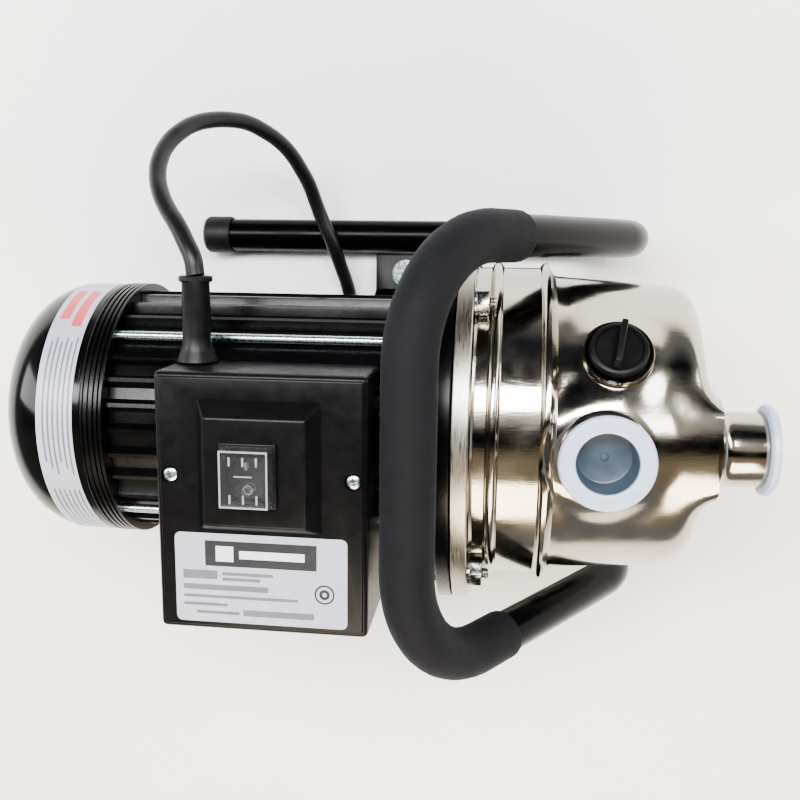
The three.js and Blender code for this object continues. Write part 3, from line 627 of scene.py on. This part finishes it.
# ---------- motor ----------
def add_motor():
    outline = []
    for i in range(32):
        middle = i * 360 / 32
        tall = abs(middle % 90 - 45) > 7
        for offset, height in ((-3, 65.5), (-1.6, 68.6), (-0.9, 70), (0.9, 70), (1.6, 68.6), (3, 65.5)):
            angle = math.radians(middle + offset)
            radius = height if tall else 65.5
            outline.append((radius * math.cos(angle), radius * math.sin(angle)))
    housing = slab("finned_housing", outline, -137.3, 11.9)
    cut(housing, rod("bore", -150, 30, 62, 96))
    place(smooth(housing, 25), (0, 0, AXIS))
    finish_off(housing, MOTOR_ENAMEL, "motor_black", "base", "motor_housing")

    grooves = []
    for along in (-147.9, -145.1, -142.3, -139.7):
        grooves += [(along - 0.6, 74.3), (along - 0.3, 73.2), (along + 0.3, 73.2), (along + 0.6, 74.3)]
    bell = [(-149.7, 73.4), (-149.7, 74.1), (-149.3, 74.3)] + grooves + [
        (-138, 74.3), (-137.6, 73.9), (-137.6, 60.8), (-133, 60.8), (-133, 58), (-139.5, 58), (-139.5, 9.5),
        (-142, 9.5), (-142, 17.9), (-153, 17.9), (-153, 22), (-143, 22), (-143, 73.4), (-149.7, 73.4)]
    shield = place(turned("rear_bell", bell, 120), (0, 0, AXIS))
    finish_off(smooth(shield, 20), MOTOR_ENAMEL, "motor_black", "base", "rear_end_shield")

    dome = [(-205.1, 0), (-205.1, 12)] + arc((-169.1, 37.8), 36, 178, 90, 20)
    lip = [(-153, 73.8), (-151.6, 73.8), (-151.2, 74.15), (-150.4, 74.15), (-150, 73.8), (-150, 72.2)]
    inside = arc((-169.1, 37.8), 34.2, 90, 178, 20) + [(-203.3, 12), (-203.3, 0)]
    cover = turned("fan_hood", dome + lip + inside, 144)
    slots = repeat(soften(block("slot", (-212, -2.5, 13), (-200, 2.5, 36)), 2.4, 3), *["slot"] * 10)
    for i, slot in enumerate(slots):
        place(slot, turn=(i * math.pi / 5, 0, 0))
    cut(cover, gather("slots", *slots))
    soften(cover, 0.35, 2, 55)
    place(cover, (0, 0, AXIS))
    finish_off(smooth(cover, 30), COVER_ENAMEL, "cover_paint", "base", "fan_cover")

    head = hexagon("head", -147.4, -143.4, 6)
    tie = gather("tie_bar", rod("shank", -144, 16, 2.4, 24), head, thread("end", 16, 22, 2.4, 0.8))
    for i, tie in enumerate(repeat(tie, *["tie_bar_%d" % (i + 1) for i in range(4)])):
        angle = math.radians(45 + 90 * i)
        place(tie, (0, 69 * math.cos(angle), AXIS + 69 * math.sin(angle)))
        finish_off(tie, ZINC, "zinc", "base", "tie_rod_%d" % (i + 1))

    bell = [(-35.2, 74), (-24, 74), (-15, 77), (-7.5, 83), (-7.5, 101.8), (-0.3, 101.8), (-0.3, 34), (-10, 34),
            (-16, 18), (-16, 10), (-22.7, 10), (-22.7, 17.9), (-34.3, 17.9), (-34.3, 22), (-20, 22), (-20, 58),
            (-40, 58), (-40, 60.8), (-35.2, 60.8), (-35.2, 74)]
    bracket = soften(turned("front_bell", bell, 120), 0.7, 2, 40)
    ribs = repeat(block("rib", (-30, -1.6, 72), (-7, 1.6, 90)), *["rib"] * 12)
    for i, rib in enumerate(ribs):
        place(rib, turn=(math.radians(15 + 30 * i), 0, 0))
    chamfer = turned("chamfer", [(-31, 60), (-26, 75), (-7.2, 96), (-7.2, 60), (-31, 60)], 60)
    ribs = gather("ribs", *ribs)
    modify(ribs, "BOOLEAN", operation="INTERSECT", object=chamfer, solver="EXACT")
    bpy.data.objects.remove(chamfer)
    bracket = gather("front_bell", bracket, ribs)
    place(bracket, (JOINT, 0, AXIS))
    finish_off(smooth(bracket), MOTOR_ENAMEL, "motor_black", "base", "motor_bracket")


# ---------- pump ----------
def even_steps(outline, longest):
    """The same outline with its long sides divided."""
    points = [outline[0]]
    for a, b in zip(outline, outline[1:]):
        count = max(1, math.ceil(math.dist(a, b) / longest))
        points += [(a[0] + (b[0] - a[0]) * i / count, a[1] + (b[1] - a[1]) * i / count) for i in range(1, count + 1)]
    return points


def press_pad(piece, turn, centre, radius, level, blend, above):
    """Presses a flat round pad into a skin, at a level along the direction that turn brings to +Z."""
    place(piece, turn=turn)
    choose(piece, lambda p: p.z > above and math.hypot(p.x - centre[0], p.y - centre[1]) < radius)
    bpy.ops.transform.resize(value=(1, 1, 0), center_override=(0, 0, level * MM), use_proportional_edit=True,
                             use_proportional_connected=True, proportional_edit_falloff="SMOOTH",
                             proportional_size=blend * MM)
    bpy.ops.object.mode_set(mode="OBJECT")
    back = Euler(turn).to_matrix().inverted().to_euler()
    place(piece, turn=back)


def add_pump_body():
    bead = [(0, 0), (1, 1.6), (2.2, 2.6), (3.4, 2.8), (4.6, 2.6), (5.8, 1.6), (6.8, 0)]
    front = PUMP_FRONT
    outline = [(0.3, 90), (0.3, 101.3), (0.8, 101.8), (8, 101.8), (8.5, 101.3), (8.5, 90), (9, 88.2), (10.5, 87)]
    outline += [(16 + a, 87 + r) for a, r in bead] + [(42.4 + a, 87 + r) for a, r in bead[:-2]]
    outline += [(48.6, 85.4), (50.5, 83.2), (53, 82.5)] + arc((front - 14, 64.6), 14, 88, 0, 8) + [(front, 0)]
    skin = turned("drawn_body", even_steps(outline, 3), 160)
    press_pad(skin, (0, 0, 0), (73.5, 0), 26, 85, 11, 40)
    press_pad(skin, (PLUG_TILT, 0, 0), (78.9, 0), 18.5, 84.5, 9, 40)
    press_pad(skin, (0, -math.pi / 2, 0), (-SUCTION_RISE, 0), 27, front + 5, 8, front - 6)
    press_pad(skin, (0, -math.pi / 2, 0), (DRAIN_DROP, 0), 11, front + 3, 5, front - 6)
    choose(skin, lambda p: 56 < p.x < 129.5 and p.z > 30)
    bpy.ops.mesh.vertices_smooth(factor=0.5, repeat=9)
    bpy.ops.object.mode_set(mode="OBJECT")
    modify(skin, "SOLIDIFY", thickness=1.4 * MM, offset=-1)
    smooth(skin, 50)
    tools = [place(rod("bore", front - 30, front + 20, PORT_BORE, 64), (0, 0, SUCTION_RISE)),
             place(rod("bore", 40, 120, PORT_BORE, 64), (73.5, 0, 0), UPRIGHT),
             place(rod("bore", front - 20, front + 20, 6.3, 32), (0, 0, -DRAIN_DROP))]
    fill = place(rod("bore", 40, 120, 9.4, 48), turn=UPRIGHT)
    tools.append(place(place(fill, turn=(-PLUG_TILT, 0, 0)), (78.9, 0, 0)))
    cut(skin, *tools)
    place(skin, (JOINT, 0, AXIS))
    finish_off(skin, STAINLESS, "stainless", "base", "pump_body")
    skin.data.materials.append(RIM_STAINLESS)
    for face in skin.data.polygons:
        centre = face.center / MM
        if math.hypot(centre.y, centre.z - AXIS) > 101.5 and centre.x < JOINT + 9:
            face.material_index = 1
    smooth(skin, 50)

    collar = turned("fill_collar", [(84, 9.6), (86.1, 9.6), (86.1, 14.6), (87.6, 15.2), (88.4, 16), (88.4, 16.8),
                                    (87.4, 17.4), (84, 17.6), (84, 9.6)], 72)
    place(place(collar, turn=UPRIGHT), (JOINT + 78.9, 0, AXIS), (-PLUG_TILT, 0, 0))
    finish_off(collar, STAINLESS, "stainless", "base")

    nut = soften(hexagon("nut", 9.4, 16, 12.4), 0.2, 1)
    washer = soften(ring("washer", 8.7, 9.8, 3, 6.9, 36), 0.2, 1)
    bolt = gather("joint_bolt", hexagon("head", -12.8, -7.7, 10), rod("shank", -8, 10, 3, 24),
                  thread("end", 10, 19.5, 3, 1), washer, nut)
    bolts = repeat(bolt, *["joint_bolt_%d" % (i + 1) for i in range(4)])
    for i, (bolt, degrees) in enumerate(zip(bolts, (40, 140, 220, 320))):
        angle = math.radians(degrees)
        place(bolt, (JOINT, 93.4 * math.cos(angle), AXIS + 93.4 * math.sin(angle)), (angle, 0, 0))
        finish_off(bolt, BOLT_STEEL, "steel", "base", "body_bolt_%d" % (i + 1))


def port_tube(name, start, end):
    """A spun tube with a rolled edge and a flared foot."""
    outline = [(start, 16.5), (start, 22.6), (start + 1, 21.4), (start + 2.4, 19.9), (start + 4.5, 19.1),
               (start + 6, 19), (end - 1, 19), (end - 0.3, 18.7), (end, 18), (end, 17), (end - 0.5, 16.5),
               (start, 16.5)]
    return turned(name, outline, 96)


def transit_cap(name, face):
    """A push-in cap: a rolled flange outside the port and a cup inside its bore."""
    outline = [(face - 4.5, 15.6), (face - 4.5, 21.6), (face - 3.9, 22.6), (face - 2.6, 23), (face - 1.2, 22.8),
               (face - 0.3, 22.1), (face, 21.2), (face - 0.15, 18.5), (face, 16), (face - 0.5, 15), (face - 1.6, 14.6),
               (face - 15.5, 13.7), (face - 16.6, 13.2), (face - 17, 12.3), (face - 17, 2.2), (face - 16.2, 1.4),
               (face - 16, 0), (face - 19, 0), (face - 19, 14.4), (face - 18, 15.1), (face - 4.5, 15.6)]
    cap = turned(name, outline, 96)
    wear(cap, MILKY, CUP_PAINTED_SHADE)
    # Faces inside the cup take the darker finish: painted shade for the recess and the bore behind it.
    for part in cap.data.polygons:
        middle = part.center / MM
        radius = math.hypot(middle.y, middle.z)
        part.material_index = int(radius < 14.7 and face - 17.2 < middle.x < face - 1.6)
    return cap


def add_ports():
    tube_x = place(port_tube("suction_tube", 130.2, 152.9), (JOINT, 0, AXIS + SUCTION_RISE))
    finish_off(tube_x, STAINLESS, "stainless", "base", "suction_port")
    tube_z = place(port_tube("discharge_tube", 84.4, 96.5), (DISCHARGE_X, 0, AXIS), UPRIGHT)
    finish_off(tube_z, STAINLESS, "stainless", "base", "discharge_port")
    cap = place(transit_cap("suction_stopper", 157.7), (JOINT, 0, AXIS + SUCTION_RISE))
    finish_off(cap, None, "milky_plastic", "suction_cap", "suction_cap")
    cap = place(transit_cap("discharge_stopper", 101.3), (DISCHARGE_X, 0, AXIS), UPRIGHT)
    finish_off(cap, None, "milky_plastic", "discharge_cap", "discharge_cap")


def add_plugs():
    head = turned("fill_knob", [(75, 0), (75, 8.3), (76, 8.7), (87.9, 8.7), (87.9, 13.6), (88.4, 14.25), (91.3, 14.25),
                                (92.4, 13.8), (93, 12.8), (93, 11.6), (92.3, 11), (92.3, 0)], 96)
    rib = block("rib", (-2.3, -12.4, 91), (2.3, 12.4, 102))
    choose(rib, lambda p: p.z > 94)
    bpy.ops.transform.resize(value=(0.6, 0.9, 1))
    bpy.ops.object.mode_set(mode="OBJECT")
    soften(rib, 0.5, 3)
    place(rib, turn=(0, 0, math.radians(-10)))
    knob = gather("fill_knob", place(head, turn=UPRIGHT), rib)
    place(knob, (PLUG_X, 0, AXIS), (-PLUG_TILT, 0, 0))
    finish_off(smooth(knob), KNOB_PLASTIC, "knob_plastic", "fill_plug", "fill_plug")
    seal = place(place(ring("fill_washer", 86.3, 87.3, 9.3, 13), turn=UPRIGHT), (PLUG_X, 0, AXIS), (-PLUG_TILT, 0, 0))
    finish_off(soften(seal, 0.3), SEAL_RUBBER, "black_rubber", "fill_seal", "fill_plug_seal")

    head = PUMP_FRONT + 4.6
    drain = gather("drain_screw", hexagon("head", head, head + 5, 17), thread("shank", head - 11, head + 1, 5.7, 1.8))
    place(drain, (JOINT, 0, AXIS - DRAIN_DROP))
    finish_off(drain, KNOB_PLASTIC, "knob_plastic", "drain_plug", "drain_plug")
    seal = place(ring("drain_washer", 128.9, 129.9, 6.1, 9, 48), (JOINT, 0, AXIS - DRAIN_DROP))
    finish_off(soften(seal, 0.3), SEAL_RUBBER, "black_rubber", "drain_seal", "drain_plug_seal")


# ---------- terminal box ----------
def tapered(name, low, high, top_low, top_high):
    """A block whose top face is a smaller rectangle."""
    piece = block(name, low, high)
    middle = (low[2] + high[2]) / 2
    choose(piece, lambda p: p.z > middle)
    grow = [(top_high[i] - top_low[i]) / (high[i] - low[i]) for i in (0, 1)]
    bpy.ops.transform.resize(value=(grow[0], grow[1], 1))
    shift = [((top_low[i] + top_high[i]) - (low[i] + high[i])) / 2 * MM for i in (0, 1)]
    bpy.ops.transform.translate(value=(shift[0], shift[1], 0))
    bpy.ops.object.mode_set(mode="OBJECT")
    return piece


def add_box():
    cover = block("switch_box", (-97.5, -93.8, AXIS + 52), (8.8, 37.9, BOX_FACE))
    soften(cover, 3, 4, 60)
    cut(cover, block("under", (-110, -110, AXIS + 40), (20, 50, AXIS + 55.5)))
    # A shallow step runs round the lid a little inside its edge.
    lid = soften(block("lid", (-95.3, -91.6, BOX_FACE - 3), (6.6, 35.7, BOX_FACE + 0.5)), 1.2, 3, 60)
    wedge = tapered("wedge", (-77.1, -42.3, BOX_FACE - 2), (-12.2, 26.9, AXIS + 110), (-69.8, -36), (-20.2, 17.2))
    soften(wedge, 1.0, 3, 20)
    fuse(cover, lid, wedge)
    cut(cover, block("inside", (-95, -91.3, AXIS + 40), (6.3, 35.4, AXIS + 98)),
        place(rod("motor", -150, 60, 70.9, 96), (0, 0, AXIS)))
    switch_x, switch_y, _ = SWITCH
    cut(cover, block("opening", (switch_x - 12.4, switch_y - 14.4, 200), (switch_x + 12.4, switch_y + 14.4, 250)))
    for x in LID_SCREWS:
        cut(cover, place(rod("recess", BOX_FACE - 1.6, 240, 4.4, 48), (x, LID_SCREW_Y, 0), UPRIGHT))
    cut(cover, place(rod("gland", 20, 60, 8, 48), (GLAND_X, 0, GLAND_Z), SIDEWAYS))
    finish_off(smooth(cover, 30), BOX_PLASTIC, "box_plastic", "base", "box_cover")

    head = turned("head", [(-1.3, 0), (-1.3, 3.6), (-0.3, 3.5), (0.3, 2.6), (0.5, 1.2), (0.5, 0)], 40)
    for angle in (0.3, 0.3 + math.pi / 2):
        cut(head, place(block("slot", (-0.6, -2.2, -0.42), (1.5, 2.2, 0.42)), turn=(angle, 0, 0)))
    screw = gather("lid_screw", head, thread("shank", -18, -1.2, 2.1, 0.9))
    screws = repeat(screw, "lid_screw_1", "lid_screw_2")
    for i, (screw, x) in enumerate(zip(screws, LID_SCREWS)):
        place(screw, (x, LID_SCREW_Y, BOX_FACE), UPRIGHT)
        finish_off(smooth(screw), ZINC, "zinc", "base", "cover_screw_%d" % (i + 1))

    gland = [(35.6, 0), (35.6, 7.4), (38.3, 7.4), (38.3, 10.2), (39, 10.6), (41, 9.9), (44, 8.6), (47, 7.6), (52, 7.3),
             (78.6, 7), (79.2, 7.2), (79.4, 8.2), (80, 8.6), (81.8, 8.6), (82.4, 8.1), (82.4, 0)]
    sleeve = place(turned("cord_gland", gland, 64), (GLAND_X, 0, GLAND_Z), SIDEWAYS)
    finish_off(sleeve, RELIEF_RUBBER, "black_rubber", "base", "strain_relief")


def add_switch():
    bezel = soften(block("bezel", (-14, -16, 0.3), (14, 16, 2.3)), 0.7, 3)
    housing = fuse(bezel, block("body", (-12, -14, -22), (12, 14, 1)))
    cut(housing, block("well", (-10.3, -12.4, -8), (10.3, 12.4, 6)))
    place(soften(housing, 0.25, 1), SWITCH)
    finish_off(housing, SWITCH_PLASTIC, "switch_plastic", "base", "switch_housing")

    tilt = math.radians(12)
    rise = math.tan(tilt) * 10.8
    side = [(-10.8, -1.5), (0, -4), (10.8, -1.5), (10.8, 1 + rise), (0, 2.2), (-10.8, 1 + rise)]
    lever = soften(slab("rocker_key", side, -9.6, 9.6), 0.5, 3)
    place(place(lever, turn=(tilt, 0, 0)), SWITCH)
    finish_off(smooth(lever), SWITCH_PLASTIC, "switch_plastic", "rocker", "rocker")
    bar = soften(block("bar", (-0.6, 4.6, 3.0), (0.6, 8.6, 3.35)), 0.1, 1)
    circle = place(turned("circle", [(3.0, 1.7), (3.35, 1.7), (3.35, 2.5), (3.0, 2.5), (3.0, 1.7)], 36), turn=UPRIGHT)
    slope = math.atan2(rise - 1.2, 10.8)
    place(place(bar, turn=(slope, 0, 0)), (0, 0, -0.9))
    place(place(circle, (0, -6.6, 0)), turn=(-slope, 0, 0))
    place(circle, (0, 0, -0.9))
    marks = gather("rocker_marks", bar, circle)
    place(place(marks, turn=(tilt, 0, 0)), SWITCH)
    finish_off(smooth(marks), SWITCH_PRINT, "switch_plastic", "rocker")

    hood = tapered("hood", (-12.9, -15, 2.6), (12.9, 15, 9.5), (-11.9, -14), (11.9, 14))
    soften(hood, 1.2, 3)
    cut(hood, tapered("hollow", (-12.1, -14.2, 1.5), (12.1, 14.2, 8.7), (-11.1, -13.2), (11.1, 13.2)))
    place(smooth(hood), SWITCH)
    finish_off(hood, CLEAR, "clear_plastic", "base", "switch_cover")
    ribs = []
    for x in (-6.5, 0, 6.5):
        ribs.append(block("rib", (x - 0.5, -11.6, 9.4), (x + 0.5, -7.2, 9.9)))
        ribs.append(block("rib", (x - 0.5, 6.6, 9.4), (x + 0.5, 11, 9.9)))
    ribs.append(block("rib", (-4.5, 1.4, 9.4), (4.5, 2.1, 9.9)))
    rim = block("rim", (-11.8, -13.9, 9.1), (11.8, 13.9, 9.8))
    cut(rim, block("window", (-10.9, -13, 9), (10.9, 13, 10)))
    ribs = soften(gather("hood_ribs", rim, *ribs), 0.2, 1)
    place(ribs, SWITCH)
    finish_off(ribs, FROSTED, "clear_plastic", "base")


def label_plate(name, low, high, bottom, top, radius):
    """A thin plate whose upright edges alone are rounded."""
    plate = block(name, (*low, bottom), (*high, top))
    weights = plate.data.attributes.new("bevel_weight_edge", "FLOAT", "EDGE")
    for edge in plate.data.edges:
        a, b = (plate.data.vertices[i].co for i in edge.vertices)
        weights.data[edge.index].value = 1.0 if abs(a.z - b.z) > MERGE else 0.0
    return smooth(modify(plate, "BEVEL", width=radius * MM, segments=5, limit_method="WEIGHT"))


def add_name_label():
    """A generic rating plate: a dark heading, grey bars for its lines and a plain ring for its mark."""
    low = BOX_FACE + 0.55
    plate = label_plate("rating_plate", (-88.5, -89.2), (-1.2, -42.6), low, low + 0.2, 3)
    finish_off(plate, LABEL, "milky_plastic", "base")
    face = low + 0.2
    heading = block("rating_heading", (-73, -59.5, face), (-16.5, -46.4, face + PRINT))
    finish_off(heading, PRINT_DARK, "switch_plastic", "base")
    shapes = [block("mark", (-67.5, -57, face + PRINT), (-58.5, -49, face + 2 * PRINT)),
              block("mark", (-55.5, -55.2, face + PRINT), (-22.5, -51, face + 2 * PRINT))]
    finish_off(gather("rating_heading_bars", *shapes), PRINT_WHITE, "milky_plastic", "base")
    lines = [(-84.5, -66.5, -67, -62), (-64.5, -64.2, -38.5, -62.6), (-64.5, -67, -45, -65.4),
             (-84.5, -72.2, -41, -69.4), (-84.5, -76.4, -26, -74.9), (-84.5, -80.6, -62, -79.1),
             (-78, -84.8, -56, -83.3), (-54, -85.2, -18, -82)]
    bars = [block("line", (x0, y0, face), (x1, y1, face + PRINT)) for x0, y0, x1, y1 in lines]
    finish_off(gather("rating_lines", *bars), PRINT_GREY, "switch_plastic", "base")
    circle = place(ring("circle", face, face + PRINT, 4.2, 5, 48), (-12.6, -71.5, 0), UPRIGHT)
    inner = place(ring("circle", face, face + PRINT, 1.2, 2.6, 36), (-12.6, -71.5, 0), UPRIGHT)
    finish_off(gather("rating_mark", circle, inner), PRINT_DARK, "switch_plastic", "base")


def add_band_label():
    """A generic care label round the fan hood: a red block and rows of grey bars."""
    def strip(name, start, end, radius, thick, low_angle, high_angle):
        """Part of a ring, its angles measured from the top towards +Y."""
        sweep = high_angle - low_angle
        outline = [(start, radius), (start, radius + thick), (end, radius + thick), (end, radius), (start, radius)]
        piece = draw(name, [(along, 0, r) for along, r in outline])
        bpy.ops.mesh.select_all(action="SELECT")
        bpy.ops.mesh.remove_doubles(threshold=MERGE)
        bpy.ops.mesh.edge_face_add()
        bpy.ops.mesh.spin(steps=max(6, round(sweep / 3)), angle=math.radians(sweep), center=(0, 0, 0), axis=(1, 0, 0))
        close_up()
        spun_to_plus_y = sum(v.co.y for v in piece.data.vertices) > 0
        turn = -math.radians(low_angle) if spun_to_plus_y else -math.radians(high_angle)
        return smooth(place(piece, (0, 0, AXIS), (turn, 0, 0)))

    finish_off(strip("care_band", -174.2, -154, 73.82, 0.16, -96, 86), LABEL, "milky_plastic", "base")
    red = [strip("red", -171, -165.6, 73.98, 0.06, 50, 72), strip("red", -163, -157.4, 73.98, 0.06, 46, 72)]
    finish_off(gather("care_block", *red), PRINT_RED, "milky_plastic", "base")
    rows = []
    for i, along in enumerate((-170.8, -168, -165.2, -162.4, -159.6, -156.8)):
        rows.append(strip("row", along, along + 1, 73.98, 0.06, -14 - 3 * (i % 3), 38 + 2 * (i % 2)))
        rows.append(strip("row", along, along + 1, 73.98, 0.06, -62 + 4 * (i % 2), -28))
    finish_off(gather("care_rows", *rows), PRINT_GREY, "milky_plastic", "base")


# ---------- plug ----------
def add_plug():
    outline = [(0, 0), (0, 5.7), (-3, 6.0), (-3.4, 5.4), (-5.4, 5.5), (-5.8, 6.6), (-8.8, 6.9), (-9.2, 6), (-11.2, 6.1),
               (-11.6, 7.1), (-14.6, 7.4), (-15, 6.5), (-17, 6.6), (-17.4, 7.6), (-22, 8), (-24, 9.2), (-28, 12),
               (-36, 12.4), (-45, 13), (-48.6, 12.8), (-50, 11.8), (-50, 0)]
    body = turned("plug_body", outline, 72)
    at = (COIL_AT[0] - 35, TAIL_Y, 13)
    place(body, at)
    finish_off(smooth(body), CAP_RUBBER, "black_rubber", "base", "plug")
    blades = [soften(block("blade", (-67, y - 0.8, -0.2), (-49, y + 0.8, 6.2)), 0.4, 2) for y in (-6.3, 6.3)]
    pin = turned("pin", [(-49, 0), (-49, 2.4), (-65.5, 2.4), (-67, 1.2), (-67, 0)], 32)
    blades.append(place(pin, (0, 0, -6.5)))
    blades = place(gather("plug_blades", *blades), at)
    finish_off(blades, BRASS, "steel", "base")
    mid_y = COIL_AT[1] + (OUTER + INNER) / 2
    strap = block("coil_strap", (-3, mid_y - 10.2, 0.02), (3, mid_y + 10.2, 19.8))
    cut(strap, block("window", (-5, mid_y - 9.6, 0.5), (5, mid_y + 9.6, 19.2)))
    place(soften(strap, 0.2, 1), (COIL_AT[0], 0, 0))
    finish_off(strap, CAP_RUBBER, "black_rubber", "base")
    return [body, blades, strap]


def finish_cord(with_pieces):
    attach(cord, "base")
    cord.data.materials.append(CORD_JACKET)
    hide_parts("cord_lead", "cord_coil")


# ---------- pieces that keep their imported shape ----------
def dress_inner_pieces():
    finishes = {
        PLAIN_STEEL: "stator_core shaft rotor_core rear_bearing front_bearing seal_head impeller_nut",
        WINDING: "winding_rear winding_front",
        FAN_PLASTIC: "cooling_fan diffuser venturi nozzle capacitor terminal_strip",
        RIM_STAINLESS: "back_plate impeller",
        SEAL_RUBBER: "body_seal",
        CERAMIC: "seal_seat",
        BOX_PLASTIC: "box_base",
    }
    for made, names in finishes.items():
        for name in names.split():
            wear(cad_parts[name], made)


# ---------- floor and light ----------
def add_floor():
    bpy.ops.object.select_all(action="DESELECT")
    bpy.ops.mesh.primitive_plane_add(size=8, location=(0, 0, -0.0002))
    floor = bpy.context.object
    floor.name = "studio_floor"
    made, tree, shader, where = new_finish("studio_paper", Roughness=0.9, IOR=1.3)
    mottle = add_node(tree, CLOUDS, {"Vector": where, "Scale": per_mm(60), "Detail": 3}).outputs[0]
    lay_finish(tree, shader, mottle, ("#f4f4f3", "#f8f8f7"))
    wear(floor, made)


def add_soft_light(name, at, aim, width, height, watts, tint="#ffffff"):
    bpy.ops.object.light_add(type="AREA", location=at)
    lamp = bpy.context.object
    lamp.name = name
    lamp.data.shape = "RECTANGLE"
    lamp.data.size = width
    lamp.data.size_y = height
    lamp.data.energy = watts
    lamp.data.color = colour(tint)[:3]
    lamp.rotation_euler = (Vector(aim) - Vector(at)).to_track_quat("-Z", "Y").to_euler()


def add_studio():
    """Pale surroundings that are darker overhead on the cord side, so that polished metal shows both."""
    bpy.context.scene.view_settings.look = "AgX - Medium High Contrast"
    world = bpy.data.worlds.new("studio")
    bpy.context.scene.world = world
    world.use_nodes = True
    tree = world.node_tree
    way = add_node(tree, "ShaderNodeTexCoord").outputs["Generated"]
    parts = add_node(tree, "ShaderNodeSeparateXYZ", {"Vector": way})
    across = add_node(tree, "ShaderNodeMapRange", {"Value": parts.outputs["Y"], "From Min": -1.0, "From Max": 1.0})
    ramp = add_node(tree, "ShaderNodeValToRGB", {"Fac": across.outputs[0]})
    stops = ramp.color_ramp.elements
    stops[0].position, stops[0].color = 0.0, colour("#a2967f")
    stops[1].position, stops[1].color = 1.0, colour("#3a404c")
    for position, code in ((0.36, "#aea18a"), (0.43, "#0c0b0d"), (0.52, "#0f0f11"), (0.58, "#cfccc4"),
                           (0.72, "#b9b7b2"), (0.84, "#14171d")):
        stop = stops.new(position)
        stop.color = colour(code)
    horizon = add_node(tree, "ShaderNodeMapRange", {"Value": parts.outputs["Z"], "From Min": 0.1, "From Max": 0.34})
    sky = add_node(tree, "ShaderNodeMix", {"Factor": horizon.outputs[0], "B": ramp.outputs[0]}, data_type="RGBA")
    sky.inputs["A"].default_value = colour("#97989b")
    back = tree.nodes["Background"]
    tree.links.new(sky.outputs["Result"], back.inputs["Color"])
    back.inputs["Strength"].default_value = 0.85
    add_soft_light("window", (-0.1, 0.62, 1.5), (0, 0, 0.1), 1.6, 0.4, 48)
    add_soft_light("warm_fill", (0.2, -1.2, 1.2), (0, 0, 0.1), 1.8, 0.8, 42, "#fff1dd")
    add_soft_light("end_strip", (1.5, 0.6, 0.8), (0.1, 0, 0.15), 0.4, 1.2, 14)
    add_soft_light("rear_strip", (-1.3, 0.3, 0.8), (-0.1, 0, 0.15), 0.5, 1.0, 12)


add_frame()
add_motor()
add_pump_body()
add_ports()
add_plugs()
add_box()
add_switch()
add_name_label()
add_band_label()
finish_cord(add_plug())
dress_inner_pieces()
add_floor()
add_studio()
